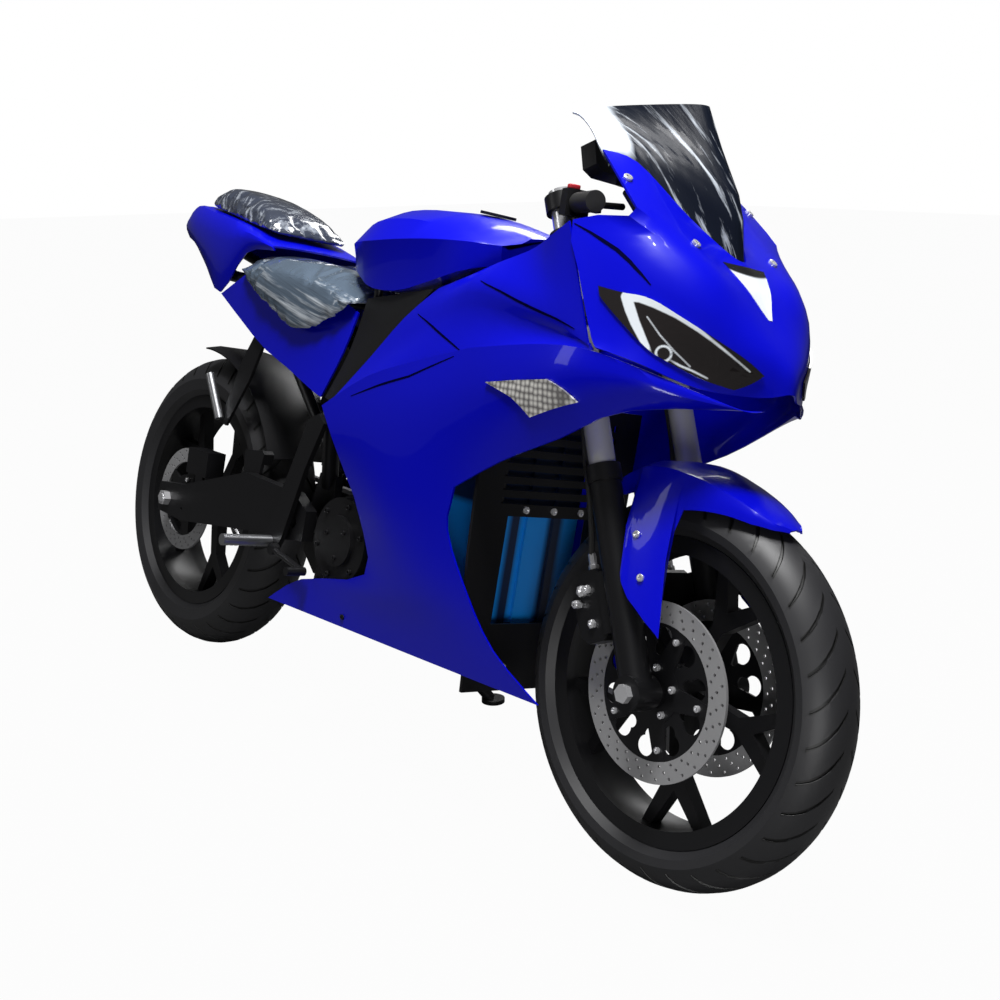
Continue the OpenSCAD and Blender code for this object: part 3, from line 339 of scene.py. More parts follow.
drill(looks["front_discs"], AXLE_X, AXLE_Z, FRONT_REACH, FRONT_ROWS)
drill(looks["rear_disc"], -AXLE_X, REAR_Z, REAR_REACH, REAR_ROWS)
two_tone(looks["front_discs"], AXLE_X, AXLE_Z, FRONT_SWEPT, "black_metal")
two_tone(looks["rear_disc"], -AXLE_X, REAR_Z, REAR_SWEPT, "black_metal")
front_bolts = []
for side in (-1, 1):
    front_bolts += ring(AXLE_X, AXLE_Z, side * DISC_FACE, radius=84, count=5, turn=36 * (side > 0),
                        size=5, height=4, side=side)
    front_bolts += ring(AXLE_X, AXLE_Z, side * DISC_FACE, radius=36, count=5, turn=20,
                        size=5.5, height=5, side=side)
rear_bolts = ring(-AXLE_X, REAR_Z, -HUB_FACE, radius=42, count=5, turn=10, size=5, height=4, side=-1)
sprocket_bolts = ring(-AXLE_X, REAR_Z, HUB_FACE, radius=42, count=5, turn=10, size=6, height=5, side=1)
copies(dome, "front_disc_bolts", front_bolts, "front_wheel", "bright_steel")
copies(dome, "rear_disc_bolts", rear_bolts, "rear_wheel", "bright_steel")
copies(hexa, "sprocket_bolts", sprocket_bolts, "rear_wheel", "bright_steel")
print("discs have", len(looks["front_discs"].data.polygons), "faces")

# %% [markdown]
# ## Disc carriers
# Behind the five arms of each front disc lies a thin carrier plate. It starts as a flat cylinder.
# The middle and ten drop-shaped windows are drilled out.
# Each window is a large and a small hole that run into each other.

# %% Carrier plates
CARRIER_R, CARRIER_T, CARRIER_Y, CARRIER_BORE = 101, 3.0, 62, 44
WINDOW_ROWS = [(81, 10, 18, 15.5), (64, 10, 22, 10)]
plates = [cylinder(at(AXLE_X, side * CARRIER_Y, AXLE_Z), SIDE, CARRIER_T / 1000, CARRIER_R, 96) for side in (1, -1)]
carriers = joined(plates)
carriers.name = "front_disc_carriers"
drill(carriers, AXLE_X, AXLE_Z, FRONT_REACH, [(0, 1, 0, CARRIER_BORE)], 48)
for row in WINDOW_ROWS:
    drill(carriers, AXLE_X, AXLE_Z, FRONT_REACH, [row], 24)
carriers.data.materials.append(MATS["black_metal"])
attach(carriers, "front_wheel")
print("carriers have", len(carriers.data.polygons), "faces")

# %% [markdown]
# ## Tread
# One groove cutter is a grid that follows the groove below the surface of the tyre and is drawn outwards.
# It is copied round the axle, once for each shoulder, and cut out of the tyre.
# The groove starts near the middle line and bends back towards the shoulder.

# %% Tread grooves
TYRES = {
    "front_tyre": dict(x=AXLE_X, z=AXLE_Z, half=55),
    "rear_tyre": dict(x=-AXLE_X, z=REAR_Z, half=70),
}
SHOULDER_R = {"front_tyre": 258, "rear_tyre": 266}
GROOVES, SLANT, GROOVE_WIDTH, GROOVE_TIP = 34, 1.6, 0.15, 0.35
GROOVE_IN, GROOVE_OUT, GROOVE_BEND = 0.16, 0.94, 0.7
GROOVE_DEPTH, GROOVE_DRAWN, OUTSIDE = 3.0, 12, 400
STATIONS = 9


def on_tyre(tyre, x, z, y, angle):
    """Point of the tyre's surface and the way in to the axle there."""
    start = on_circle(x, y, z, OUTSIDE, angle)
    inward = (at(x, y, z) - start).normalized()
    spot = tyre.ray_cast(start, inward)[1]
    return spot, inward


def groove(tyre, x, z, half, side):
    """Widths and angles are shares of the pitch, distances from the middle are shares of half."""
    bpy.ops.object.select_all(action="DESELECT")
    bpy.ops.mesh.primitive_grid_add(x_subdivisions=STATIONS - 1, y_subdivisions=1, size=1)
    obj = bpy.context.object
    pitch = 2 * math.pi / GROOVES
    for v in obj.data.vertices:
        along, row = v.index % STATIONS / (STATIONS - 1), v.index // STATIONS
        share = GROOVE_IN + (GROOVE_OUT - GROOVE_IN) * along
        wide = GROOVE_WIDTH * (GROOVE_TIP + (1 - GROOVE_TIP) * math.sin(math.pi * along))
        angle = pitch * (0.5 - SLANT * share ** GROOVE_BEND + wide * (0.5 - row))
        spot, inward = on_tyre(tyre, x, z, side * share * half, angle)
        v.co = spot + inward * GROOVE_DEPTH / 1000
    edit(obj)
    bpy.ops.mesh.extrude_region_move(TRANSFORM_OT_translate={"value": -inward * GROOVE_DRAWN / 1000})
    bpy.ops.mesh.select_all(action="SELECT")
    bpy.ops.mesh.normals_make_consistent(inside=False)
    leave()
    return obj


def grooved(tyre, x, z, half):
    axle = Matrix.Translation(at(x, 0, z))
    made = []
    for side in (-1, 1):
        first = groove(tyre, x, z, half, side)
        for k in range(GROOVES):
            obj = twin(first)
            obj.matrix_world = axle @ Matrix.Rotation(2 * math.pi * k / GROOVES, 4, SIDE) @ axle.inverted()
            made.append(obj)
        bpy.data.objects.remove(first)
    cut(tyre, made)


for node, tyre in TYRES.items():
    grooved(looks[node], **tyre)
    print(node, "has", len(looks[node].data.polygons), "faces")

# %% [markdown]
# ## Painted shade in the grooves
# The material paints shade on the floor of the grooves. It turns Object coordinates back upright round the axle.
# The angle round the axle plus the distance from the middle line gives the same slant.

# %% Tread material
def tread(name, x, z, half, shoulder):
    m = material(name, (0.014, 0.014, 0.015), 0.5)
    t = m.node_tree

    def math_node(op, *values):
        n = t.nodes.new("ShaderNodeMath")
        n.operation = op
        for slot, v in zip(n.inputs, values):
            if isinstance(v, (int, float)):
                slot.default_value = v
            else:
                t.links.new(v, slot)
        return n.outputs[0]

    coord = t.nodes.new("ShaderNodeTexCoord")
    back = t.nodes.new("ShaderNodeMapping")
    upright = Matrix.Rotation(math.radians(LEAN), 4, "X")
    back.inputs["Rotation"].default_value = (math.radians(LEAN), 0, 0)
    back.inputs["Location"].default_value = -(upright @ at(x, 0, z))
    t.links.new(coord.outputs["Object"], back.inputs["Vector"])
    split = t.nodes.new("ShaderNodeSeparateXYZ")
    t.links.new(back.outputs["Vector"], split.inputs["Vector"])
    turn = math_node("ARCTAN2", split.outputs["Z"], split.outputs["X"])
    share = math_node("DIVIDE", math_node("ABSOLUTE", split.outputs["Y"]), half / 1000)
    bend = math_node("MULTIPLY", math_node("POWER", share, GROOVE_BEND), SLANT)
    phase = math_node("FRACT", math_node("ADD", math_node("MULTIPLY", turn, GROOVES / (2 * math.pi)), bend))
    near = math_node("ABSOLUTE", math_node("SUBTRACT", phase, 0.5))
    squares = [math_node("POWER", split.outputs[axis], 2) for axis in "XZ"]
    radius = math_node("SQRT", math_node("ADD", *squares))
    line = math_node("LESS_THAN", near, GROOVE_WIDTH / 2)
    line = math_node("MULTIPLY", line, math_node("GREATER_THAN", share, GROOVE_IN))
    line = math_node("MULTIPLY", line, math_node("LESS_THAN", share, GROOVE_OUT))
    line = math_node("MULTIPLY", line, math_node("GREATER_THAN", radius, shoulder / 1000))
    # The second colour is painted shade on the groove floors.
    mix_colours(m, line, (0.016, 0.016, 0.018), (0.002, 0.002, 0.002))
    return m


for node, tyre in TYRES.items():
    looks[node].data.materials[0] = tread(node.replace("tyre", "tread"), **tyre, shoulder=SHOULDER_R[node])
print("tread on both tyres")

# %% [markdown]
# ## Painting by attribute
# A mask that follows a shape is stored on the mesh, one number per corner point.
# The material reads the number back and mixes two colours where it changes sign.
# The points are first turned upright again, so the masks use the CAD source's millimetres.

# %% Masks
def mask(obj, name, value):
    att = obj.data.attributes.new(name, "FLOAT", "POINT")
    att.data.foreach_set("value", [value(*(UNDO @ v.co * 1000)) for v in obj.data.vertices])


def finer(obj, cuts):
    edit(obj)
    bpy.ops.mesh.subdivide(number_cuts=cuts)
    leave()


def clamp(value):
    return max(0.0, min(1.0, value))


def far(p, path):
    """Distance from p to a path of (point, half width), less the half width there."""
    best = 1e9
    for (a, wa), (b, wb) in zip(path, path[1:]):
        d = b - a
        t = clamp((p - a).dot(d) / d.length_squared)
        best = min(best, (p - a - d * t).length - wa - (wb - wa) * t)
    return best


def two_colours(mat, name, first, second, soft):
    """Where the mask is below zero the second colour shows."""
    tree = mat.node_tree
    att = tree.nodes.new("ShaderNodeAttribute")
    att.attribute_name = name
    ramp = tree.nodes.new("ShaderNodeMapRange")
    ramp.inputs[1].default_value, ramp.inputs[2].default_value = soft, -soft
    tree.links.new(att.outputs["Fac"], ramp.inputs[0])
    mix_colours(mat, ramp.outputs[0], first, second)


print("masks ready")

# %% [markdown]
# ## Headlights
# Each lens is divided finely. A light strip runs down its rear edge and along its upper edge.
# It gets thin towards the front. A fine line crosses the lens, and a ring marks the projector.

# %% Headlight lenses
BAND = [((620, 186, 846), 7.5), ((630, 185, 830), 7.5), ((642, 183, 812), 6.5), ((659, 179, 790), 5),
        ((669, 171.5, 775), 2.5)]
TOP = [((620, 186, 846), 7.5), ((638, 177, 847), 7), ((657, 166, 842), 6.5), ((685, 148.5, 831), 5),
       ((712, 127, 814), 2.8), ((738, 99, 793), 1.7), ((761, 66, 770), 1)]
LOW = [((669, 171.5, 775), 1.8), ((688, 154, 769), 1.5), ((702, 143, 763), 1.4), ((713, 130, 759), 1.3),
       ((728, 113, 752), 1.1)]
FINE = [((653.5, 173, 822), 0.8), ((673.5, 163, 800), 0.9), ((693, 148.4, 780.5), 0.9), ((710, 132, 764), 0.9)]
PATHS = [[(Vector(p), w) for p, w in path] for path in (BAND, TOP, LOW, FINE)]
EYE, EYE_R, EYE_LINE = Vector((681, 158, 775)), 11, 1.4


def light_strip(x, y, z):
    p = Vector((x, abs(y), z))
    return min([far(p, path) for path in PATHS] + [abs((p - EYE).length - EYE_R) - EYE_LINE])


lens = looks["headlights"]
finer(lens, 6)
mask(lens, "strip", light_strip)
glass = material("headlight_lens", (0.01, 0.01, 0.01), 0.05, coat=1.0)
two_colours(glass, "strip", (0.012, 0.010, 0.010), (0.62, 0.66, 0.70), 0.9)
lens.data.materials[0] = glass
print("lenses have", len(lens.data.polygons), "faces")

# %% [markdown]
# ## Front indicators
# A row of small cells shines through the clear lens. They come from a Voronoi pattern on Object coordinates.

# %% Indicator lenses
CELL_SCALE, CELL_RANDOM, CELL_LIGHT, CELL_DARK = 105, 0.25, 0.15, 0.6
clear = material("indicator_lens", (0.6, 0.6, 0.6), 0.1, metal=0.2, coat=1.0)
tree = clear.node_tree
coord = tree.nodes.new("ShaderNodeTexCoord")
cells = tree.nodes.new("ShaderNodeTexVoronoi")
cells.inputs["Scale"].default_value = CELL_SCALE
cells.inputs["Randomness"].default_value = CELL_RANDOM
tone = tree.nodes.new("ShaderNodeMapRange")
tone.inputs[1].default_value, tone.inputs[2].default_value = CELL_LIGHT, CELL_DARK
tree.links.new(coord.outputs["Object"], cells.inputs["Vector"])
tree.links.new(cells.outputs["Distance"], tone.inputs[0])
mix_colours(clear, tone.outputs[0], (0.92, 0.90, 0.85), (0.20, 0.19, 0.19))
looks["front_indicators"].data.materials[0] = clear
print("indicator lenses painted")

# %% [markdown]
# ## Windscreen
# The tint is dark in the middle and fades out towards the upper sides.
# Stretched noise draws the streaks of the clear film that still covers it, as a bump and as painted highlights in a
# pale colour.

# %% Tinted screen
FILM_ROUGH, FILM_DEPTH = 0.65, 0.003
CLEAR_Y, CLEAR_SLOPE, SCREEN_TOP, CLEAR_FADE = 50, 0.35, 1190, 8
CLEAR_Z, CLEAR_RISE = 1046, 26


def streaks(mat, dark, pale, scale, stretch, low, high, bump, fade=None, detail=6):
    """stretch has a factor for x, y and z and a turn round y in degrees; fade names a mask."""
    tree = mat.node_tree
    coord = tree.nodes.new("ShaderNodeTexCoord")
    turn = tree.nodes.new("ShaderNodeMapping")
    turn.vector_type = "TEXTURE"
    turn.inputs["Rotation"].default_value = (0, math.radians(stretch[3]), 0)
    turn.inputs["Scale"].default_value = [1 / s for s in stretch[:3]]
    noise = tree.nodes.new("ShaderNodeTexNoise")
    noise.inputs["Scale"].default_value = scale
    noise.inputs["Detail"].default_value = detail
    noise.inputs["Roughness"].default_value = FILM_ROUGH
    tone = tree.nodes.new("ShaderNodeMapRange")
    tone.inputs[1].default_value, tone.inputs[2].default_value = low, high
    tree.links.new(coord.outputs["Object"], turn.inputs["Vector"])
    tree.links.new(turn.outputs["Vector"], noise.inputs["Vector"])
    tree.links.new(noise.outputs["Fac"], tone.inputs[0])
    share = tone.outputs[0]
    if fade:
        att = tree.nodes.new("ShaderNodeAttribute")
        att.attribute_name = fade
        top = tree.nodes.new("ShaderNodeMath")
        top.operation = "ADD"
        top.use_clamp = True
        tree.links.new(share, top.inputs[0])
        tree.links.new(att.outputs["Fac"], top.inputs[1])
        share = top.outputs[0]
    # The pale colour along the streaks is painted highlight on the film.
    mix_colours(mat, share, dark, pale)
    h = tree.nodes.new("ShaderNodeBump")
    h.inputs["Strength"].default_value = bump
    h.inputs["Distance"].default_value = FILM_DEPTH
    tree.links.new(noise.outputs["Fac"], h.inputs["Height"])
    tree.links.new(h.outputs["Normal"], tree.nodes["Principled BSDF"].inputs["Normal"])


def clear_side(x, y, z):
    side = clamp((abs(y) - CLEAR_SLOPE * (SCREEN_TOP - z) - CLEAR_Y) / CLEAR_FADE)
    return side * clamp((z - CLEAR_Z) / CLEAR_RISE)


screen = looks["windscreen"]
finer(screen, 2)
mask(screen, "clear", clear_side)
tint = material("screen_tint", (0.01, 0.01, 0.012), 0.3, coat=0.03, spec=0.06)
# The pale colour of the streaks is painted highlight on the film.
streaks(tint, (0.005, 0.007, 0.013), (0.70, 0.76, 0.84), scale=26, stretch=(0.16, 5.0, 0.9, 36),
        low=0.55, high=0.80, bump=0.2, fade="clear")
screen.data.materials[0] = tint
print("screen has", len(screen.data.polygons), "faces")

# %% [markdown]
# ## Pieces laid on a panel
# A flat piece stands off the panel and is pressed onto it along one axis with a Shrinkwrap modifier.
# A Solidify modifier then gives it a little thickness.
# The white flash on the nose starts as a plane shaped to four corners.
# Its upper end is painted dark: painted shade of the duct opening below the screen.

# %% Nose flash
LAID_THICK = 0.8
FLASH = [(660, -47, 918), (660, 47, 918), (727, 4, 846), (727, -4, 846)]
FLASH_AWAY, FLASH_LIFT = 0.2, 0.4
DUCT_Z, DUCT_CURVE = 905, 0.0022


def lay_on(obj, panel, axis, sign, lift, mat):
    """axis 0 presses along x and 1 along y, from the side that sign gives."""
    wrap = obj.modifiers.new("press", "SHRINKWRAP")
    wrap.target = looks[panel]
    wrap.wrap_method = "PROJECT"
    wrap.use_project_x, wrap.use_project_y = axis == 0, axis == 1
    wrap.use_positive_direction, wrap.use_negative_direction = sign < 0, sign > 0
    wrap.offset = lift / 1000
    only(obj)
    bpy.ops.object.modifier_apply(modifier="press")
    thick = obj.modifiers.new("thick", "SOLIDIFY")
    thick.thickness = LAID_THICK / 1000
    thick.offset = 0
    bpy.ops.object.modifier_apply(modifier="thick")
    edit(obj)
    bpy.ops.mesh.normals_make_consistent(inside=False)
    leave()
    bpy.ops.object.shade_smooth_by_angle(angle=SMALL_ANGLE)
    obj.data.materials.append(MATS[mat])
    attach(obj, "chassis")


bpy.ops.object.select_all(action="DESELECT")
bpy.ops.mesh.primitive_plane_add(size=1)
flash = bpy.context.object
flash.name = "nose_flash"
for v, k in zip(flash.data.vertices, (0, 1, 3, 2)):
    v.co = at(*FLASH[k])
    v.co.x += FLASH_AWAY
finer(flash, 23)
lay_on(flash, "nose_cowl", 0, 1, FLASH_LIFT, "white_paint")
mask(flash, "duct_shade", lambda x, y, z: DUCT_Z + DUCT_CURVE * y * y - z)
# The dark second colour is painted shade in the duct below the screen.
two_colours(MATS["white_paint"], "duct_shade", (0.78, 0.82, 0.88), (0.004, 0.004, 0.005), 1.5)
print("flash and duct laid on the nose")

# %% [markdown]
# ## Panel lines
# Moulded creases and panel steps get thin dark ribbons of painted shade; at the brow the ribbon also follows a gap
# between panels.
# A grid with one row of faces follows the path, is pressed onto the panel, and narrows to both ends.

# %% Ribbons on the panels
RIBBON_AWAY, RIBBON_LIFT, RIBBON_TIP = 0.05, 0.2, 0.25
LINES = {
    "arch_line": ("fairing", 3.5, [
        (-1, 181, 624), (44, 183, 640), (85, 186, 654), (128, 188, 667), (167, 191, 678), (227, 194, 702),
        (282, 198, 723)]),
    "shoulder_line": ("upper_panel", 4, [
        (290, 174, 846), (321, 180, 839), (350, 183, 833), (392, 187, 823), (435, 191, 814), (467, 194, 808),
        (500, 198, 802), (530, 201, 795), (546, 202, 791)]),
    "rear_line": ("upper_panel", 3.5, [
        (122, 158, 781), (150, 163, 773), (183, 169, 763), (216, 175, 753), (262, 182, 739), (290, 186, 731)]),
    "brow_line": ("nose_cowl", 5, [
        (499, 180, 943), (529, 180, 932), (555, 180, 921), (582, 180, 909), (607, 180, 893), (627, 180, 877),
        (643, 180, 863)]),
}


def ribbon(name, panel, path, width, side):
    n = len(path)
    bpy.ops.object.select_all(action="DESELECT")
    bpy.ops.mesh.primitive_grid_add(x_subdivisions=n - 1, y_subdivisions=1, size=1)
    obj = bpy.context.object
    obj.name = name
    points = [Vector((x, side * y, z)) for x, y, z in path]
    for v in obj.data.vertices:
        k, row = v.index % n, v.index // n
        d = points[min(k + 1, n - 1)] - points[max(k - 1, 0)]
        narrow = RIBBON_TIP + (1 - RIBBON_TIP) * math.sin(math.pi * k / (n - 1))
        across = Vector((-d.z, 0, d.x)).normalized() * width / 2 * narrow
        v.co = at(*(points[k] + across * (1 - 2 * row)))
        v.co.y += RIBBON_AWAY * side
    finer(obj, 3)
    lay_on(obj, panel, 1, side, RIBBON_LIFT, "crease_shade")


for name, (panel, width, path) in LINES.items():
    for end, side in (("right", -1), ("left", 1)):
        node = panel if panel in looks else panel + "_" + end
        ribbon(name + "_" + end, node, path, width, side)
print("laid", 2 * len(LINES), "panel lines")

# %% [markdown]
# ## Seats
# Both pads are still wrapped in clear film, whose streaks get a bump and painted highlights.
# A copy is rebuilt with even faces, smoothed, and inflated as cloth with its base held.
# Growing the cloth a little makes the folds. The move of each point is capped, so the pad keeps its size.

# %% Inflated seat pads
VOXEL, EVEN_STEPS = 0.0055, 5
GROW, CAP, PRESSURE, STIFFNESS, STEPS = 0.035, 0.007, 4, 0.2, 18
RIDER_BASE_Z, RIDER_BASE_Y = 822, 132
PILLION_X, PILLION_Z, PILLION_SLOPE, PILLION_BASE = -470, 900, 0.155, 4


def puff(node, name, hold):
    pad = bpy.data.objects.new(name, looks[node].data.copy())
    bpy.context.scene.collection.objects.link(pad)
    only(pad)
    pad.data.remesh_voxel_size = VOXEL
    bpy.ops.object.voxel_remesh()
    edit(pad)
    bpy.ops.mesh.vertices_smooth(factor=0.5, repeat=EVEN_STEPS)
    leave()
    before = [v.co.copy() for v in pad.data.vertices]
    group = pad.vertex_groups.new(name="held")
    group.add([v.index for v in pad.data.vertices if hold(*(UNDO @ v.co * 1000))], 1.0, "REPLACE")
    cloth = pad.modifiers.new("cloth", "CLOTH")
    cloth.settings.quality = 4
    cloth.settings.use_pressure = True
    cloth.settings.uniform_pressure_force = PRESSURE
    cloth.settings.shrink_min = -GROW
    cloth.settings.vertex_group_mass = "held"
    cloth.settings.effector_weights.gravity = 0
    cloth.settings.bending_stiffness = STIFFNESS
    scene = bpy.context.scene
    for k in range(1, STEPS + 1):
        scene.frame_set(k)
    only(pad)
    bpy.ops.object.modifier_apply(modifier="cloth")
    scene.frame_set(1)
    for v, old in zip(pad.data.vertices, before):
        move = v.co - old
        if move.length > CAP:
            v.co = old + move * (CAP / move.length)
    bpy.ops.object.shade_smooth()
    pad.data.materials.clear()
    pad.data.materials.append(looks[node].data.materials[0])
    pad.vertex_groups.clear()
    bpy.data.objects.remove(looks[node])
    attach(pad, "chassis")
    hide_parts(node)
    looks[node] = pad


def rider_base(x, y, z):
    return z < RIDER_BASE_Z and abs(y) < RIDER_BASE_Y


def pillion_base(x, y, z):
    return z < PILLION_Z + (PILLION_X - x) * PILLION_SLOPE + PILLION_BASE


film = material("seat_film", (0.05, 0.06, 0.08), 0.2, coat=1.0)
# The pale colour of the streaks in both films is painted highlight.
streaks(film, (0.080, 0.110, 0.150), (0.78, 0.83, 0.88), scale=12, stretch=(0.24, 1.2, 4.6, 13),
        low=0.52, high=0.74, bump=0.8, detail=4)
dark_film = material("pillion_film", (0.03, 0.03, 0.04), 0.2, coat=1.0)
streaks(dark_film, (0.035, 0.042, 0.062), (0.62, 0.67, 0.74), scale=30, stretch=(2.8, 0.6, 0.6, -20),
        low=0.52, high=0.80, bump=0.7, detail=4)
for node, name, wrap, hold in (("rider_seat", "rider_pad", film, rider_base),
                               ("pillion_seat", "pillion_pad", dark_film, pillion_base)):
    looks[node].data.materials[0] = wrap
    puff(node, name, hold)
    print(node, "has", len(looks[node].data.polygons), "faces")

# %% [markdown]
# ## Fixings
# Bolts of the panels sit on the nearest point of the surface and point straight out of it.
# The others sit at places taken from the CAD source. The brake hoses end in hexagon unions.

# %% Bolts and unions
LINING_X, MOTOR_X, MOTOR_Z = 357.4, -22, 363
CALIPER_X, CALIPER_Y = -66, 101.2
HOSE_X, HOSE_Y, UNION_Y = -62, 86, 101


def screws(name, skins, points, size, height, mat="bright_steel"):
    """skins are the right and the left piece that carry the bolts."""
    spots = []
    for x, y, z in points:
        for side, node in zip((-1, 1), skins):
            _, spot, normal, _ = looks[node].closest_point_on_mesh(at(x, side * y, z))
            if normal.dot(SIDE) * side < -0.2:
                normal = -normal
            spots.append((spot, normal, size / 1000, height / 1000))
    copies(dome, name, spots, body_of(skins[0]), mat)


screws("nose_screws", ("nose_cowl", "nose_cowl"), [(540, 140, 1018), (645, 88, 938)], 7, 3.5)
screws("fender_bolts", ("front_fender", "front_fender"), [(648, 132, 527), (679, 134, 463)], 5.5, 3.5)
screws("belly_bolts", ("fairing_right", "fairing_left"), [(30, 156, 236)], 5, 2.5, "black_metal")
lining = [(at(LINING_X, y, z), AHEAD, 0.006, 0.003)
          for y, z in ((-62, 497), (0, 497), (62, 497), (-58, 236), (58, 236))]
copies(dome, "lining_bolts", lining, "chassis", "bright_steel")
motor = ring(MOTOR_X, MOTOR_Z, -146, radius=66, count=6, turn=15, size=5, height=4, side=-1)
motor += ring(MOTOR_X, MOTOR_Z, -154, radius=30, count=3, turn=40, size=4.5, height=3, side=-1)
copies(dome, "motor_bolts", motor, "chassis", "black_metal")
calipers, unions = [], []
for side in (-1, 1):
    for z in (112, 164):
        calipers.append((fork(CALIPER_X, side * CALIPER_Y, z), SIDE * side, 0.007, 0.005))
    for z, radius, height in ((192.2, 8, 8), (201, 6.2, 16)):
        unions.append((fork(HOSE_X, side * HOSE_Y, z), FORK_UP, radius / 1000, height / 1000))
    for x, z, radius, height in ((552, 410, 9, 7), (549, 389, 6.5, 11)):
        unions.append((at(x, side * UNION_Y, z), SIDE * side, radius / 1000, height / 1000))
copies(hexa, "caliper_bolts", calipers, "steering", "bright_steel")
copies(hexa, "hose_unions", unions, "steering", "bright_steel")
print("bolts placed")

# %% [markdown]
# ## Switch and dash screen
# Two small moulded pieces start as cubes and get their edges bevelled.
# The switch is placed in the frame of the right handlebar.

# %% Small moulded pieces
BAR_SWEEP, DASH_TILT = 22, 20
BAR_ROOT, SWITCH_AT = (0, -100, 757), (0.049, -0.006, 0.0235)
DASH_AT = (376.4, 0, 1056)


def block(name, place, turn, size, mat, body):
    bpy.ops.object.select_all(action="DESELECT")
    bpy.ops.mesh.primitive_cube_add(size=1)
    obj = bpy.context.object
    obj.name = name
    obj.matrix_world = Matrix.Translation(place) @ turn.to_4x4() @ Matrix.Diagonal((*[s / 1000 for s in size], 1))
    bpy.ops.object.transform_apply(location=True, rotation=True, scale=True)
    edit(obj)
    bpy.ops.mesh.bevel(offset=min(size) / 4000, segments=3, affect="EDGES")
    leave()
    bpy.ops.object.shade_smooth_by_angle(angle=CUBE_ANGLE)
    obj.data.materials.append(MATS[mat])
    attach(obj, body)


bar = FORK.to_3x3() @ Matrix.Rotation(math.radians(RAKE), 3, "Y") @ Matrix.Rotation(math.radians(-BAR_SWEEP), 3, "Z")
dash = PLACE.to_3x3() @ Matrix.Rotation(math.radians(-DASH_TILT), 3, "Y")
block("kill_switch", fork(*BAR_ROOT) + bar @ Vector(SWITCH_AT), bar, (12, 18, 8), "red_switch", "steering")
block("dash_screen", at(*DASH_AT), dash, (1.5, 118, 40), "lamp_dark", "chassis")
print("switch and dash screen placed")

# %% [markdown]
# ## Battery case
# The case shows through the window of the lining. A mask paints shade into the grooves between its ribs, and darkens
# the case above RIB_TOP.

# %% Battery bands
RIB_Y, RIB_HALF, RIB_TOP = 46, 13, 490
case = looks["battery_pack"]
finer(case, 24)
mask(case, "rib_groove_shade", lambda x, y, z: min(abs(abs(y) - RIB_Y) - RIB_HALF, RIB_TOP - z))
# The dark second colour is painted shade in the grooves between the ribs.
two_colours(MATS["battery_case"], "rib_groove_shade", (0.002, 0.24, 0.76), (0.001, 0.012, 0.05), 6)
print("battery case has", len(case.data.polygons), "faces")

# %% [markdown]
# ## Floor and sky
# The floor and the sky look white to the camera.
# They give less light than that to the motorcycle, so dark pieces stay dark.

# %% Floor and world
FLOOR_SIZE, FLOOR_GLOW, SKY_LIGHT = 40, 0.97, 0.075
bpy.ops.object.select_all(action="DESELECT")
bpy.ops.mesh.primitive_plane_add(size=FLOOR_SIZE)
floor = bpy.context.object
floor.name = "floor"
pale = material("floor_white", (0.1, 0.1, 0.1), 0.8)
tree = pale.node_tree
rays = tree.nodes.new("ShaderNodeLightPath")
glow = tree.nodes.new("ShaderNodeEmission")
glow.inputs["Color"].default_value = (1, 1, 1, 1)
part = tree.nodes.new("ShaderNodeMath")
part.operation = "MULTIPLY"
part.inputs[1].default_value = FLOOR_GLOW
blend = tree.nodes.new("ShaderNodeMixShader")
tree.links.new(rays.outputs["Is Camera Ray"], part.inputs[0])
tree.links.new(part.outputs[0], blend.inputs[0])
tree.links.new(tree.nodes["Principled BSDF"].outputs[0], blend.inputs[1])
tree.links.new(glow.outputs[0], blend.inputs[2])
tree.links.new(blend.outputs[0], tree.nodes["Material Output"].inputs["Surface"])
floor.data.materials.append(pale)

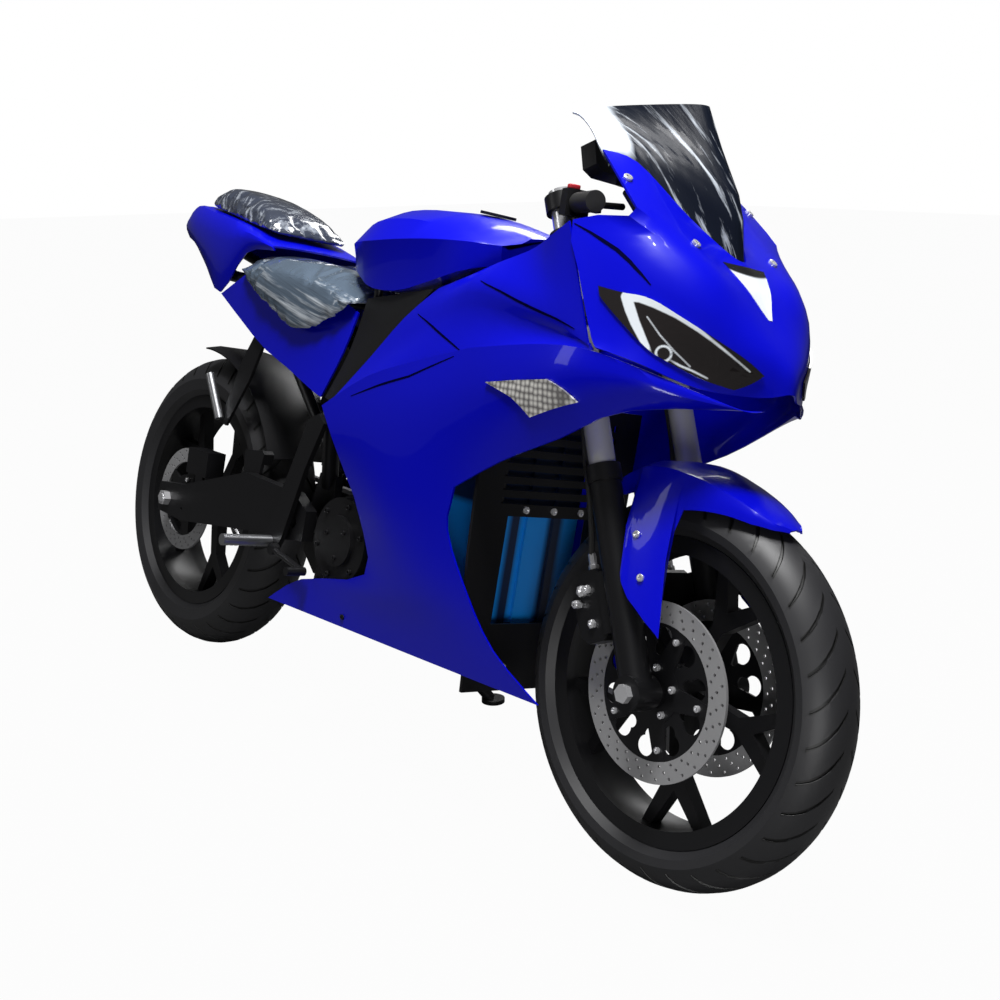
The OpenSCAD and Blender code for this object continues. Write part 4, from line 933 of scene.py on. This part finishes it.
world = bpy.data.worlds.new("studio")
bpy.context.scene.world = world
world.use_nodes = True
tree = world.node_tree
rays = tree.nodes.new("ShaderNodeLightPath")
level = tree.nodes.new("ShaderNodeMapRange")
level.inputs[3].default_value, level.inputs[4].default_value = SKY_LIGHT, 1.0
tree.links.new(rays.outputs["Is Camera Ray"], level.inputs[0])
tree.nodes["Background"].inputs["Color"].default_value = (1, 1, 1, 1)
tree.links.new(level.outputs[0], tree.nodes["Background"].inputs["Strength"])
print("floor and sky ready")

# %% [markdown]
# ## Light and camera
# Five softboxes light the machine, most of it from above.
# The camera stands where the photograph was taken from.

# %% Softboxes and camera
def softbox(name, place, aim, size, power):
    light = bpy.data.lights.new(name, "AREA")
    light.shape = "RECTANGLE"
    light.size, light.size_y = size
    light.energy = power
    obj = bpy.data.objects.new(name, light)
    bpy.context.scene.collection.objects.link(obj)
    obj.location = place
    obj.rotation_euler = (Vector(aim) - Vector(place)).to_track_quat("-Z", "Y").to_euler()


softbox("key", (0.8, -0.8, 4.1), (0, 0, 0.6), (0.8, 0.8), 150)
softbox("front", (2.4, -1.5, 0.5), (0.6, -0.1, 0.42), (0.9, 0.5), 18)
softbox("side", (-2.0, -3.0, 2.4), (-0.2, 0, 0.5), (0.7, 1.8), 10)
softbox("over", (0.2, 0.4, 4.2), (0, 0, 0.6), (2.6, 0.9), 150)
softbox("rim", (-1.5, 3.0, 2.8), (0, 0, 0.7), (2.0, 1.2), 55)

YAW, PITCH, LENS, SENSOR = 2.437, -0.249, 49.65, 36
CAMERA_X, CAMERA_Y, CAMERA_Z = 1.969, -1.382, 1.063
cam = bpy.data.objects.new("camera", bpy.data.cameras.new("camera"))
bpy.context.scene.collection.objects.link(cam)
cam.location = (CAMERA_X - MID_X / 1000, CAMERA_Y - MID_Y / 1000, CAMERA_Z)
cam.rotation_euler = (math.pi / 2 + PITCH, 0, YAW - math.pi / 2)
cam.data.lens = LENS
cam.data.sensor_width = SENSOR
bpy.context.scene.camera = cam
bpy.context.scene.view_settings.view_transform = "Standard"
print("camera at", [round(c, 3) for c in cam.location])

# %% [markdown]
# The two bolts that served as patterns are removed.

# %% Finish
for proto in (dome, hexa):
    bpy.data.objects.remove(proto)
